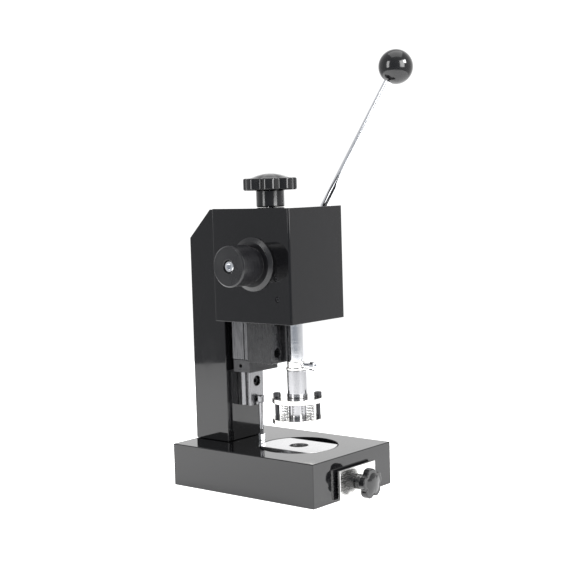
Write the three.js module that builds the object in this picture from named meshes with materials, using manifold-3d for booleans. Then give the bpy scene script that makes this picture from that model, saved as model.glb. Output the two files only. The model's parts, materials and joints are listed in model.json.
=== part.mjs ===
// Hand-lever disc punch: a rack-and-pinion bench press that cuts small round discs out of foil or sheet.
//
// Frame: +Z up, origin in the middle of the base block's underside, front of the machine towards -Y.
// All sizes are millimetres. Each mesh is one piece of the machine as it would lie on the bench.

import * as THREE from "three";
import { mergeVertices } from "three/addons/utils/BufferGeometryUtils.js";
import Module from "manifold-3d";

const wasm = await Module();
wasm.setup();

// ---- driving dimensions -------------------------------------------------------------------------

const GAP = 0.3;              // air between pieces that touch or run in each other
const FINE = 24;              // sides of a large round
const SMALL = 12;             // sides of a screw
const HEAD_RATIO = 1.65;      // a cap screw's head radius over its shank radius
const M6_HEAD = 6;            // head height of the size 6 screws

const BASE = { width: 134, length: 196, height: 46, edge: 1 };
const BASE_FRONT = -BASE.length / 2;
const BASE_REAR = BASE.length / 2;

const COLUMN = { width: 59, front: 50, rear: BASE_REAR, top: 301, slope: 31 };
const HEAD = { width: 90, front: -57.5, bottom: 181.5, top: 302, edge: 1 };
const HEAD_REAR = COLUMN.front - GAP;
const POCKET = { half: 31, front: -16, top: 224 };

const RAM = { y: -25.5, radius: 9, bottom: 128.5, top: 290 };
const STROKE = 27.5;

const TOOTH = { module: 1.5, count: 18, pressure: THREE.MathUtils.degToRad(20), play: 0.16 };
const PITCH_RADIUS = TOOTH.module * TOOTH.count / 2;
const PITCH = Math.PI * TOOTH.module;
const RACK_LINE = 5;          // rack pitch line behind the ram axis
const RACK_ADDENDUM = 1.2;
const RACK_DEDENDUM = 1.875;
const PINION = { y: RAM.y + RACK_LINE + PITCH_RADIUS, z: 243.7, half: 11, shaft: 8, bore: 15.8 };

const RAIL = { width: 23, depth: 18, bottom: 85, top: 221, hole: 111.5, spacing: 60 };
const RAIL_FRONT = COLUMN.front - GAP - RAIL.depth;
const CARRIAGE = { width: 48, rear: 45, front: 20.2, bottom: 138, top: 192, cap: 14 };
const BRACKET = { width: 56, front: -14, bottom: 136, top: 196, nose: 10.8, noseDepth: 6.5 };

const RECESS = { radius: 42.5, floor: 39 };
const DIE = { radius: 41.5, flat: 25.5, bore: 10.3, top: BASE.height - 0.2 };
const CHUTE_RADIUS = 13;
const DIE_SCREW = { x: 31.5, size: 2, head: 4, tip: 7 };

const PUNCH = { radius: 10, body: 11.2, shank: 5, tip: 72, shankTop: 148 };
const PLATE = { radius: 27.5, thickness: 5, bottom: 93.5 };
const STRIPPER = { bottom: 71.5, thickness: 5 };
const SHOULDER = {
  circle: 22, angle: THREE.MathUtils.degToRad(-52), radius: 2.5, thread: 2, head: 4.15, headHeight: 5,
  foot: 1.4, socket: 2, socketFloor: 2.2,
};
const SPRING = { circle: 19.4, radius: 3.4, wire: 0.6, turns: 4 };

const DRAWER = { half: 25, bottom: 8.5, top: 28, rear: -1, wall: 2 };
const DRAWER_POCKET = { half: 26, bottom: 7.5, top: 30, rear: 1 };
const FRONT_PLATE = { half: 30.5, bottom: 1.5, top: 33, thickness: 3.2, gap: 2.8 };
const DRAWER_KNOB_Z = 16.5;

const LEVER = { lean: THREE.MathUtils.degToRad(34.4), offset: 17.7, x: 57, ball: 231 };
const HUB = { inner: 46, outer: 68, radius: 25 };
const CAP = { radius: 21.5, face: -83, length: 26 };
const SPRING_HOUSING = { flange: 28.5, flangeDepth: 3.2, boss: 18, face: -56.7 };

const STAR = { y: 4.5, radius: 29.5, hub: 14.3, hubHeight: 18, rim: 12, dome: 6, lobes: 7 };
const LOCK = { radius: 5, tip: 268.3, point: 1.5, reach: 21, plug: 8, plugBottom: 248 };

// ---- materials ----------------------------------------------------------------------------------

function finish(color, roughness, metalness) {
  return new THREE.MeshStandardMaterial({ color, roughness, metalness });
}

const gloss = () => finish(0x0a0a0b, 0.12, 0.0);
const dark = () => finish(0x1c1c1e, 0.35, 0.2);
const chrome = () => finish(0xd8dadd, 0.08, 1.0);
const steel = () => finish(0xb9bbbd, 0.3, 1.0);
const nickel = () => finish(0xcfcdc6, 0.2, 1.0);
const bronze = () => finish(0x9c7a3c, 0.4, 1.0);
const phenolic = () => finish(0x0c0c0d, 0.15, 0.0);
const blackScrew = () => finish(0x232325, 0.4, 0.8);

// ---- solid helpers ------------------------------------------------------------------------------

// A closed manifold-3d solid from any closed three.js geometry, faces turned outwards.
function solid(geometry) {
  const bare = geometry.clone();
  bare.deleteAttribute("normal");
  bare.deleteAttribute("uv");
  const merged = mergeVertices(bare, 1e-4);
  const position = merged.getAttribute("position");
  const triangles = [];
  for (let i = 0; i < merged.index.count; i += 3) {
    const corner = [0, 1, 2].map((k) => merged.index.getX(i + k));
    if (new Set(corner).size === 3) triangles.push(...corner);
  }
  if (signedVolume(position, triangles) < 0) triangles.reverse();
  const mesh = new wasm.Mesh({
    numProp: 3,
    vertProperties: new Float32Array(position.array),
    triVerts: new Uint32Array(triangles),
  });
  return new wasm.Manifold(mesh);
}

function signedVolume(position, triangles) {
  const corner = [new THREE.Vector3(), new THREE.Vector3(), new THREE.Vector3()];
  let volume = 0;
  for (let i = 0; i < triangles.length; i += 3) {
    corner.forEach((point, k) => point.fromBufferAttribute(position, triangles[i + k]));
    volume += corner[0].dot(corner[1].cross(corner[2])) / 6;
  }
  return volume;
}

function toGeometry(body) {
  const mesh = body.getMesh();
  const geometry = new THREE.BufferGeometry();
  geometry.setAttribute("position", new THREE.BufferAttribute(new Float32Array(mesh.vertProperties), 3));
  geometry.setIndex(new THREE.BufferAttribute(new Uint32Array(mesh.triVerts), 1));
  geometry.computeVertexNormals();
  return geometry;
}

const join = (first, ...others) => others.reduce((sum, other) => sum.add(other), first);
const cut = (first, ...others) => others.reduce((rest, other) => rest.subtract(other), first);

function block(x0, x1, y0, y1, z0, z1) {
  const geometry = new THREE.BoxGeometry(x1 - x0, y1 - y0, z1 - z0);
  return solid(geometry.translate((x0 + x1) / 2, (y0 + y1) / 2, (z0 + z1) / 2));
}

// A block whose top and bottom edges are bevelled.
function bevelledBlock(x0, x1, y0, y1, z0, z1, edge) {
  const outline = new THREE.Shape();
  outline.moveTo(x0 + edge, y0 + edge);
  outline.lineTo(x1 - edge, y0 + edge);
  outline.lineTo(x1 - edge, y1 - edge);
  outline.lineTo(x0 + edge, y1 - edge);
  outline.closePath();
  const geometry = extruded(outline, z1 - z0, edge);
  return solid(geometry.translate(0, 0, z0));
}

// A shape drawn on XY and pulled up +Z from 0 to height, its ends bevelled by edge.
function extruded(outline, height, edge = 0, curveSegments = 12) {
  const geometry = new THREE.ExtrudeGeometry(outline, {
    depth: height - 2 * edge,
    bevelEnabled: edge > 0,
    bevelThickness: edge,
    bevelSize: edge,
    bevelSegments: 1,
    curveSegments,
    steps: 1,
  });
  return geometry.translate(0, 0, edge);
}

// Turns a geometry made about +Z so that its +Z end points along the named axis.
function aim(geometry, axis) {
  if (axis === "x") geometry.rotateY(Math.PI / 2);
  if (axis === "y") geometry.rotateX(-Math.PI / 2);
  return geometry;
}

// A round bar along an axis, from one place on it to another, through the point given.
function rod(axis, radius, from, to, point = [0, 0, 0], sides = FINE) {
  return turned(axis, [[0, from], [radius, from], [radius, to], [0, to]], point, sides);
}

// A turned piece: its profile is a list of [radius, place along the axis].
function turned(axis, profile, point = [0, 0, 0], sides = FINE) {
  const points = profile.map(([radius, place]) => new THREE.Vector2(radius, place));
  const geometry = new THREE.LatheGeometry(points, sides).rotateX(Math.PI / 2);
  return solid(aim(geometry, axis).translate(...point));
}

// A round ring along an axis, with a plain bore.
function ring(axis, outer, inner, from, to, point = [0, 0, 0], sides = FINE) {
  return turned(axis, [[inner, from], [outer, from], [outer, to], [inner, to], [inner, from]], point, sides);
}

// A cap screw along an axis: its head lies between head and seat, its shank ends at tip.
function capScrew(axis, size, head, seat, tip, point) {
  const headRadius = size * HEAD_RATIO;
  const out = Math.sign(head - seat);
  const edge = 0.5;
  const profile = [[0, tip], [size, tip], [size, seat], [headRadius, seat]];
  profile.push([headRadius, head - out * edge], [headRadius - edge, head], [0, head]);
  const socketFloor = head - out * size * 1.1;
  const socket = rod(axis, size * 0.85, socketFloor, head + out, point, 6);
  return cut(turned(axis, profile, point, SMALL), socket);
}

// A coil of round wire about +Z, from bottom to top, its ends left open.
function coil(radius, wire, turns, bottom, top, stepsPerTurn = 10) {
  const steps = turns * stepsPerTurn;
  const points = [];
  for (let i = 0; i <= steps; i += 1) {
    const angle = 2 * Math.PI * i / stepsPerTurn;
    const height = bottom + wire + (top - bottom - 2 * wire) * i / steps;
    points.push(new THREE.Vector3(radius * Math.cos(angle), radius * Math.sin(angle), height));
  }
  const section = new THREE.Shape();
  section.absarc(0, 0, wire, 0, 2 * Math.PI, false);
  const path = new THREE.CatmullRomCurve3(points);
  return new THREE.ExtrudeGeometry(section, { steps, curveSegments: 3, extrudePath: path });
}

// The scalloped outline of a star knob.
function starOutline(radius, depth, lobes, pointsPerLobe = 6) {
  const points = [];
  const count = lobes * pointsPerLobe;
  for (let i = 0; i < count; i += 1) {
    const angle = 2 * Math.PI * i / count;
    const valley = Math.pow(0.5 - 0.5 * Math.cos(lobes * angle), 1.6);
    const reach = radius - depth * valley;
    points.push(new THREE.Vector2(reach * Math.cos(angle), reach * Math.sin(angle)));
  }
  return new THREE.Shape(points);
}

function piece(name, body, material, position = [0, 0, 0], rotation = [0, 0, 0]) {
  const geometry = body.isBufferGeometry ? body : toGeometry(body);
  const mesh = new THREE.Mesh(geometry, material);
  mesh.name = name;
  mesh.position.set(...position);
  mesh.rotation.set(...rotation);
  return mesh;
}

function group(meshes, position = [0, 0, 0], rotation = [0, 0, 0]) {
  const holder = new THREE.Group();
  holder.add(...meshes);
  holder.position.set(...position);
  holder.rotation.set(...rotation);
  return holder;
}

// ---- base and column ----------------------------------------------------------------------------

const COLUMN_BOLT = { x: 18, y: 74, size: 5, head: 1, seat: 11, reach: 24, drilled: 26 };
const HEAD_BOLT = {
  x: 18, low: 236, high: 260, size: 4, seat: BASE_REAR - 9, head: BASE_REAR - 0.8, tip: 30,
};
const STOP = { y: 27, radius: 2.5, hole: 2.8, foot: 30, top: 95.7, head: 4.2, headHeight: 7 };
const STOP_NUT = { radius: 4.3, height: 6.5 };
const RAIL_SCREW = { size: 3, bore: 5.5, depth: 9, tip: 64 };

function baseBlock() {
  const half = BASE.width / 2;
  const body = bevelledBlock(-half, half, BASE_FRONT, BASE_REAR, 0, BASE.height, BASE.edge);
  const die = [0, RAM.y, 0];
  const pocket = block(
    -DRAWER_POCKET.half, DRAWER_POCKET.half,
    BASE_FRONT - 1, DRAWER_POCKET.rear,
    DRAWER_POCKET.bottom, DRAWER_POCKET.top,
  );
  const cuts = [
    rod("z", RECESS.radius, RECESS.floor, BASE.height + 1, die, 56),
    rod("z", CHUTE_RADIUS, DRAWER_POCKET.top - 1, RECESS.floor + 1, die),
    pocket,
    rod("z", STOP.hole, STOP.foot, BASE.height + 1, [0, STOP.y, 0], SMALL),
  ];
  for (const side of [-1, 1]) {
    const screw = [side * DIE_SCREW.x, RAM.y, 0];
    const deepest = RECESS.floor - DIE_SCREW.tip - 1;
    cuts.push(rod("z", DIE_SCREW.size + GAP, deepest, RECESS.floor + 1, screw, SMALL));
    const bolt = [side * COLUMN_BOLT.x, COLUMN_BOLT.y, 0];
    cuts.push(rod("z", COLUMN_BOLT.size * HEAD_RATIO + GAP, -1, COLUMN_BOLT.seat, bolt, SMALL));
    cuts.push(rod("z", COLUMN_BOLT.size + GAP, COLUMN_BOLT.seat - 1, BASE.height + 1, bolt, SMALL));
  }
  return cut(body, ...cuts);
}

// The column is sawn from plate: its side view is a rectangle with the top rear corner cut off.
function column() {
  const side = new THREE.Shape();
  const bottom = BASE.height + GAP;
  side.moveTo(COLUMN.front, bottom);
  side.lineTo(COLUMN.rear, bottom);
  side.lineTo(COLUMN.rear, COLUMN.top - COLUMN.slope);
  side.lineTo(COLUMN.rear - COLUMN.slope, COLUMN.top);
  side.lineTo(COLUMN.front, COLUMN.top);
  side.closePath();
  const slab = extruded(side, COLUMN.width);
  slab.rotateX(Math.PI / 2).rotateZ(Math.PI / 2).translate(-COLUMN.width / 2, 0, 0);
  const cuts = [];
  for (const x of [-COLUMN_BOLT.x, COLUMN_BOLT.x]) {
    const top = BASE.height + COLUMN_BOLT.drilled;
    cuts.push(rod("z", COLUMN_BOLT.size + GAP, BASE.height - 1, top, [x, COLUMN_BOLT.y, 0], SMALL));
  }
  for (const [x, z] of headBoltPlaces()) {
    cuts.push(rod("y", HEAD_BOLT.size * HEAD_RATIO + GAP, HEAD_BOLT.seat, BASE_REAR + 1, [x, 0, z], SMALL));
    cuts.push(rod("y", HEAD_BOLT.size + GAP, COLUMN.front - 1, HEAD_BOLT.seat + 1, [x, 0, z], SMALL));
  }
  for (const z of railScrewHeights()) {
    cuts.push(rod("y", RAIL_SCREW.size + GAP, COLUMN.front - 1, RAIL_SCREW.tip + 1, [0, 0, z], SMALL));
  }
  return cut(solid(slab), ...cuts);
}

function headBoltPlaces() {
  const places = [];
  for (const z of [HEAD_BOLT.low, HEAD_BOLT.high]) {
    for (const x of [-HEAD_BOLT.x, HEAD_BOLT.x]) places.push([x, z]);
  }
  return places;
}

function baseGroup() {
  const meshes = [piece("base_block", baseBlock(), gloss()), piece("column", column(), gloss())];
  [-1, 1].forEach((side, i) => {
    const place = [side * COLUMN_BOLT.x, COLUMN_BOLT.y, 0];
    const tip = BASE.height + COLUMN_BOLT.reach;
    const bolt = capScrew("z", COLUMN_BOLT.size, COLUMN_BOLT.head, COLUMN_BOLT.seat - GAP, tip, [0, 0, 0]);
    meshes.push(piece(`column_bolt_${i + 1}`, bolt, blackScrew(), place));
  });
  headBoltPlaces().forEach(([x, z], i) => {
    const seat = HEAD_BOLT.seat + GAP;
    const bolt = capScrew("y", HEAD_BOLT.size, HEAD_BOLT.head, seat, HEAD_BOLT.tip, [0, 0, 0]);
    meshes.push(piece(`head_bolt_${i + 1}`, bolt, blackScrew(), [x, 0, z]));
  });
  return group(meshes);
}

// ---- die, stop post -----------------------------------------------------------------------------

// The die plate is a disc with two flats, so that fingers can lift it out of its round recess.
function diePlate() {
  const angle = Math.asin(DIE.flat / DIE.radius);
  const outline = new THREE.Shape();
  outline.absarc(0, 0, DIE.radius, Math.PI / 2 - angle, Math.PI / 2 + angle, false);
  outline.absarc(0, 0, DIE.radius, -Math.PI / 2 - angle, -Math.PI / 2 + angle, false);
  outline.closePath();
  const thickness = DIE.top - RECESS.floor - GAP;
  const plate = solid(extruded(outline, thickness, 0, 16));
  return cut(plate, rod("z", DIE.bore, -1, thickness + 1));
}

function dieGroup() {
  const meshes = [piece("die_plate", diePlate(), steel(), [0, 0, RECESS.floor + GAP])];
  [-1, 1].forEach((side, i) => {
    const { x, size, head, tip } = DIE_SCREW;
    const screw = capScrew("z", size, RECESS.floor + head, RECESS.floor + GAP, RECESS.floor - tip, [0, 0, 0]);
    meshes.push(piece(`die_screw_${i + 1}`, screw, chrome(), [side * x, 0, 0]));
  });
  return group(meshes, [0, RAM.y, 0]);
}

function stopGroup() {
  const bottom = BASE.height + GAP;
  const top = bottom + STOP_NUT.height;
  const nut = cut(
    rod("z", STOP_NUT.radius, bottom, top, [0, 0, 0], 6),
    rod("z", STOP.hole, bottom - 1, top + 1, [0, 0, 0], SMALL),
  );
  const neck = STOP.top - STOP.headHeight;
  const post = turned("z", [
    [0, STOP.foot + 1], [STOP.radius, STOP.foot + 1], [STOP.radius, neck], [STOP.head, neck],
    [STOP.head, STOP.top - 1], [STOP.head - 1, STOP.top], [0, STOP.top],
  ], [0, 0, 0], SMALL);
  const meshes = [piece("stop_post", post, chrome()), piece("stop_nut", nut, chrome())];
  return group(meshes, [0, STOP.y, 0]);
}

// ---- head ---------------------------------------------------------------------------------------

const RAM_BUSH = { outer: 12, top: 222, bottom: 180.2 };
const RAM_HOLE = { radius: RAM.radius + 0.6, top: RAM.top + 4 };
const NOSE_SLOT = {
  half: BRACKET.nose + 0.8, front: BRACKET.front - BRACKET.noseDepth - 0.8, top: BRACKET.top + 1.5,
};
const SIDE_SCREWS = [{ y: -38, z: 229 }, { y: -39.5, z: 207.5 }];
const SIDE_SCREW = { size: 2.5, socket: 1.3, depth: 3, outer: -HEAD.width / 2 + 0.6, tip: -31 };

// The head is one block, bored across for the pinion, down for the ram, and milled out behind for the slide.
function headHousing() {
  const half = HEAD.width / 2;
  const body = bevelledBlock(-half, half, HEAD.front, HEAD_REAR, HEAD.bottom, HEAD.top, HEAD.edge);
  const cuts = [
    block(-POCKET.half, POCKET.half, POCKET.front, HEAD_REAR + 1, HEAD.bottom - 1, POCKET.top),
    rod("z", RAM_HOLE.radius, HEAD.bottom, RAM_HOLE.top, [0, RAM.y, 0]),
    rod("z", RAM_BUSH.outer + GAP, HEAD.bottom - 1, RAM_BUSH.top + GAP, [0, RAM.y, 0]),
    block(-NOSE_SLOT.half, NOSE_SLOT.half, NOSE_SLOT.front, POCKET.front + 1, HEAD.bottom - 1, NOSE_SLOT.top),
    rod("x", PINION.bore, -half - 1, half + 1, [0, PINION.y, PINION.z], 32),
    rod("z", LOCK.plug + GAP, PINION.z, LOCK.tip + 8, [0, STAR.y, 0]),
    rod("z", LOCK.radius + GAP, LOCK.tip, HEAD.top + 1, [0, STAR.y, 0], SMALL),
  ];
  for (const place of SIDE_SCREWS) {
    cuts.push(rod("x", SIDE_SCREW.size + GAP, -half - 1, SIDE_SCREW.tip + 1, [0, place.y, place.z], SMALL));
  }
  for (const [x, z] of headBoltPlaces()) {
    cuts.push(rod("y", HEAD_BOLT.size + GAP, HEAD_BOLT.tip - 1, HEAD_REAR + 1, [x, 0, z], SMALL));
  }
  return cut(body, ...cuts);
}

function sideScrew() {
  const { size, socket, depth, outer, tip } = SIDE_SCREW;
  const bar = rod("x", size, outer, tip, [0, 0, 0], SMALL);
  return cut(bar, rod("x", socket, outer - 1, outer + depth, [0, 0, 0], 6));
}

// The long bush that guides the ram is cut away behind, where the bracket's saddle reaches the ram.
function ramBush() {
  const { outer, bottom, top } = RAM_BUSH;
  const bush = ring("z", outer, RAM.radius + GAP, bottom, top);
  const window = block(-outer - 1, outer + 1, NOSE_SLOT.front - RAM.y, outer + 1, bottom - 1, NOSE_SLOT.top);
  return cut(bush, window);
}

// A round brass plug, hollowed underneath to sit on the tips of the pinion's teeth.
function brakePlug() {
  const plug = rod("z", LOCK.plug, LOCK.plugBottom, LOCK.tip - GAP, [0, STAR.y, 0]);
  const seat = pinionOuterRadius() + GAP;
  return cut(plug, rod("x", seat, -LOCK.plug - 1, LOCK.plug + 1, [0, PINION.y, PINION.z], 56));
}

function headGroup() {
  const half = HEAD.width / 2;
  const meshes = [
    piece("head_housing", headHousing(), gloss()),
    piece("brake_plug", brakePlug(), bronze()),
    piece("ram_bush", ramBush(), bronze(), [0, RAM.y, 0]),
  ];
  SIDE_SCREWS.forEach((place, i) => {
    meshes.push(piece(`side_set_screw_${i + 1}`, sideScrew(), blackScrew(), [0, place.y, place.z]));
  });
  const inner = PINION.half + 1;
  const bush = () => ring("x", PINION.bore - GAP, PINION.shaft + GAP, inner, half - GAP);
  const centre = [0, PINION.y, PINION.z];
  meshes.push(piece("pinion_bush_right", bush(), bronze(), centre));
  meshes.push(piece("pinion_bush_left", bush(), bronze(), centre, [0, Math.PI, 0]));
  return group(meshes);
}

const RETURN_SPRING = { radius: 11.8, wire: 0.9, turns: 4, from: -54.6, to: -45.6, room: 14.5 };

// The return spring winds round the shaft inside a flanged cup on the head's left side.
function springHousing() {
  const flangeBack = -HEAD.width / 2 - GAP;
  const flangeFace = flangeBack - SPRING_HOUSING.flangeDepth;
  const edge = 0.8;
  const outside = turned("x", [
    [0, SPRING_HOUSING.face], [SPRING_HOUSING.boss, SPRING_HOUSING.face], [SPRING_HOUSING.boss, flangeFace],
    [SPRING_HOUSING.flange - edge, flangeFace], [SPRING_HOUSING.flange, flangeFace + edge],
    [SPRING_HOUSING.flange, flangeBack], [0, flangeBack],
  ], [0, 0, 0], 32);
  const cavity = rod("x", RETURN_SPRING.room, RETURN_SPRING.from - GAP, flangeBack + 1);
  const shaftHole = rod("x", PINION.shaft + GAP, SPRING_HOUSING.face - 1, flangeBack);
  return cut(outside, cavity, shaftHole);
}

function springGroup() {
  const length = RETURN_SPRING.to - RETURN_SPRING.from;
  const wound = coil(RETURN_SPRING.radius, RETURN_SPRING.wire, RETURN_SPRING.turns, 0, length);
  return group([
    piece("spring_housing", springHousing(), gloss()),
    piece("return_spring", wound, steel(), [RETURN_SPRING.from, 0, 0], [0, Math.PI / 2, 0]),
  ], [0, PINION.y, PINION.z]);
}

// ---- pinion, cap and lever, drawn about the pinion axis -----------------------------------------

const SHAFT = { left: -71.5, right: HUB.outer + 2 };
const CAP_SCREW = { size: 3.6, head: CAP.face + 1, seat: CAP.face + 6, tip: -62 };
const ROD = { thick: 5.2, thin: 4.6, bottom: -23, taper: 22, depth: 6 };
const ROD_SCREW = { size: 3, inner: LEVER.x + ROD.thick + GAP, outer: HUB.outer - 0.4, depth: 3 };
const BALL = { radius: 18, flat: 15.5, play: 0.4 };

function pinionOuterRadius() {
  return PITCH_RADIUS + TOOTH.module;
}

// One flank of an involute tooth, as [radius, half angle of the tooth there], from root to tip.
function involuteFlank() {
  const base = PITCH_RADIUS * Math.cos(TOOTH.pressure);
  const involute = (radius) => {
    const pressure = Math.acos(Math.min(1, base / radius));
    return Math.tan(pressure) - pressure;
  };
  const atPitch = (PITCH / 4 - TOOTH.play) / PITCH_RADIUS + involute(PITCH_RADIUS);
  const outer = pinionOuterRadius();
  const flank = [[PITCH_RADIUS - RACK_DEDENDUM, atPitch - involute(base)]];
  for (let i = 0; i <= 4; i += 1) {
    const radius = base + (outer - base) * i / 4;
    flank.push([radius, atPitch - involute(radius)]);
  }
  return flank;
}

function pinionOutline() {
  const flank = involuteFlank();
  const points = [];
  const at = (radius, angle) => {
    points.push(new THREE.Vector2(radius * Math.cos(angle), radius * Math.sin(angle)));
  };
  for (let i = 0; i < TOOTH.count; i += 1) {
    const centre = 2 * Math.PI * i / TOOTH.count;
    flank.forEach(([radius, half]) => at(radius, centre - half));
    [...flank].reverse().forEach(([radius, half]) => at(radius, centre + half));
  }
  return new THREE.Shape(points);
}

function pinionShaft() {
  const gear = extruded(pinionOutline(), 2 * PINION.half).rotateZ(Math.PI).translate(0, 0, -PINION.half);
  // Two quarter turns lay the gear's axis along X, with a tooth of the gear facing the rack.
  gear.rotateZ(Math.PI / 2).rotateY(Math.PI / 2);
  const shaft = turned("x", [
    [0, SHAFT.left], [PINION.shaft, SHAFT.left], [PINION.shaft, SHAFT.right - 1],
    [PINION.shaft - 1, SHAFT.right], [0, SHAFT.right],
  ]);
  const thread = rod("x", CAP_SCREW.size + GAP, SHAFT.left - 1, CAP_SCREW.tip + 1, [0, 0, 0], SMALL);
  return cut(join(solid(gear), shaft), thread);
}

function endCap() {
  const inner = CAP.face + CAP.length;
  const edge = 1.4;
  const outside = turned("x", [
    [0, CAP.face], [CAP.radius - edge, CAP.face], [CAP.radius, CAP.face + edge],
    [CAP.radius, inner - edge], [CAP.radius - edge, inner], [0, inner],
  ], [0, 0, 0], 32);
  return cut(
    outside,
    rod("x", CAP_SCREW.size * HEAD_RATIO + 1, CAP.face - 1, CAP_SCREW.seat),
    rod("x", CAP_SCREW.size + GAP, CAP.face, inner + 1, [0, 0, 0], SMALL),
    rod("x", PINION.shaft + GAP, SHAFT.left - GAP, inner + 1),
  );
}

// The rod passes through the hub beside the shaft, leaning forward from the vertical.
const ROD_FOOT = [LEVER.x, LEVER.offset * Math.cos(LEVER.lean), LEVER.offset * Math.sin(LEVER.lean)];

function alongRod(body) {
  const turn = new THREE.Matrix4().makeRotationX(LEVER.lean).setPosition(...ROD_FOOT);
  return body.transform(turn.elements);
}

function leverHub() {
  const edge = 1.5;
  const disc = turned("x", [
    [0, HUB.inner], [HUB.radius - edge, HUB.inner], [HUB.radius, HUB.inner + edge],
    [HUB.radius, HUB.outer - edge], [HUB.radius - edge, HUB.outer], [0, HUB.outer],
  ], [0, 0, 0], 32);
  return cut(
    disc,
    rod("x", PINION.shaft + GAP, HUB.inner - 1, HUB.outer + 1),
    alongRod(rod("z", ROD.thick + GAP, -2 * HUB.radius, 2 * HUB.radius)),
    rod("x", ROD_SCREW.size + GAP, LEVER.x, HUB.outer + 1, [0, ROD_FOOT[1], ROD_FOOT[2]], SMALL),
  );
}

function leverRod() {
  const end = LEVER.ball - ROD.depth;
  return turned("z", [
    [0, ROD.bottom], [ROD.thick - 1, ROD.bottom], [ROD.thick, ROD.bottom + 1], [ROD.thick, ROD.taper],
    [ROD.thin, end], [0, end],
  ], [0, 0, 0], 20);
}

function ballKnob() {
  const ball = solid(new THREE.SphereGeometry(BALL.radius, 24, 14).rotateX(Math.PI / 2));
  const beyond = BALL.radius + 2;
  return cut(
    ball,
    block(-beyond, beyond, -beyond, beyond, -beyond, -BALL.flat),
    rod("z", ROD.thin + BALL.play, -beyond, -ROD.depth + GAP, [0, 0, 0], 20),
  );
}

function rodSetScrew() {
  const { size, inner, outer, depth } = ROD_SCREW;
  const bar = rod("x", size, inner, outer, [0, 0, 0], SMALL);
  return cut(bar, rod("x", size / 2, outer - depth, outer + 1, [0, 0, 0], 6));
}

function leverGroup() {
  const tilted = [LEVER.lean, 0, 0];
  const hinge = new THREE.Vector3(1, 0, 0);
  const ballPlace = new THREE.Vector3(0, 0, LEVER.ball).applyAxisAngle(hinge, LEVER.lean);
  ballPlace.add(new THREE.Vector3(...ROD_FOOT));
  const { size, head, seat, tip } = CAP_SCREW;
  return group([
    piece("pinion_shaft", pinionShaft(), steel()),
    piece("end_cap", endCap(), phenolic()),
    piece("end_cap_screw", capScrew("x", size, head, seat - GAP, tip, [0, 0, 0]), chrome()),
    piece("lever_hub", leverHub(), dark()),
    piece("rod_set_screw", rodSetScrew(), blackScrew(), [0, ROD_FOOT[1], ROD_FOOT[2]]),
    piece("lever_rod", leverRod(), chrome(), ROD_FOOT, tilted),
    piece("ball_knob", ballKnob(), phenolic(), ballPlace.toArray(), tilted),
  ], [0, PINION.y, PINION.z]);
}

// ---- top lock knob ------------------------------------------------------------------------------

const SCALLOP = 0.17;         // depth of a star knob's scallops over its radius
const DOME = 0.74;            // radius of its dome over its radius

// A star knob about +Z: a round hub below, a scalloped rim, and a low dome on top.
function starKnob(size, boreRadius, boreDepth) {
  const rimTop = size.hubHeight + size.rim;
  const hub = turned("z", [
    [0, 0], [size.hub - 1, 0], [size.hub, 1], [size.hub, size.hubHeight + 1], [0, size.hubHeight + 1],
  ]);
  const rimEdge = size.rim / 6;
  const outline = starOutline(size.radius - rimEdge, size.radius * SCALLOP, size.lobes);
  const rim = solid(extruded(outline, size.rim, rimEdge).translate(0, 0, size.hubHeight));
  const dome = turned("z", domeProfile(size.radius * DOME, rimTop - 1, size.dome + 1));
  return cut(join(hub, rim, dome), rod("z", boreRadius, -1, boreDepth, [0, 0, 0], SMALL));
}

// A low spherical cap, from its rim at the given height up to its crown.
function domeProfile(radius, from, height) {
  const sphere = (radius * radius + height * height) / (2 * height);
  const profile = [[0, from]];
  const steps = 5;
  for (let i = 0; i < steps; i += 1) {
    const reach = radius * (1 - i / steps);
    profile.push([reach, from + height - sphere + Math.sqrt(sphere * sphere - reach * reach)]);
  }
  profile.push([0, from + height]);
  return profile;
}

function lockGroup() {
  const bottom = HEAD.top + GAP;
  const { radius, tip, point, reach } = LOCK;
  const knob = starKnob(STAR, radius + GAP, reach + 1);
  const screw = turned("z", [
    [0, tip], [radius - point, tip], [radius, tip + point], [radius, bottom + reach], [0, bottom + reach],
  ], [0, 0, 0], SMALL);
  return group([
    piece("star_knob", knob, phenolic(), [0, 0, bottom]),
    piece("lock_screw", screw, steel()),
  ], [0, STAR.y, 0]);
}

// ---- linear guide -------------------------------------------------------------------------------

function railScrewHeights() {
  return [RAIL.hole, RAIL.hole + RAIL.spacing];
}

const GROOVE = { depth: 2.4, from: 4, bottomFrom: 6.5, bottomTo: 9.5, to: 12 };

// The rail's section has a groove down each side for the carriage's balls.
function linearRail() {
  const half = RAIL.width / 2;
  const waist = half - GROOVE.depth;
  const front = RAIL_FRONT;
  const rear = COLUMN.front - GAP;
  const side = [
    [half - 1, front], [half, front + 1], [half, front + GROOVE.from], [waist, front + GROOVE.bottomFrom],
    [waist, front + GROOVE.bottomTo], [half, front + GROOVE.to], [half, rear],
  ];
  const otherSide = side.map(([x, y]) => [-x, y]).reverse();
  const outline = new THREE.Shape([...side, ...otherSide].map(([x, y]) => new THREE.Vector2(x, y)));
  const cuts = [];
  for (const z of railScrewHeights()) {
    cuts.push(rod("y", RAIL_SCREW.bore, front - 1, front + RAIL_SCREW.depth, [0, 0, z], 16));
    cuts.push(rod("y", RAIL_SCREW.size + GAP, front, rear + 1, [0, 0, z], SMALL));
  }
  return cut(solid(extruded(outline, RAIL.top - RAIL.bottom).translate(0, 0, RAIL.bottom)), ...cuts);
}

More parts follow.
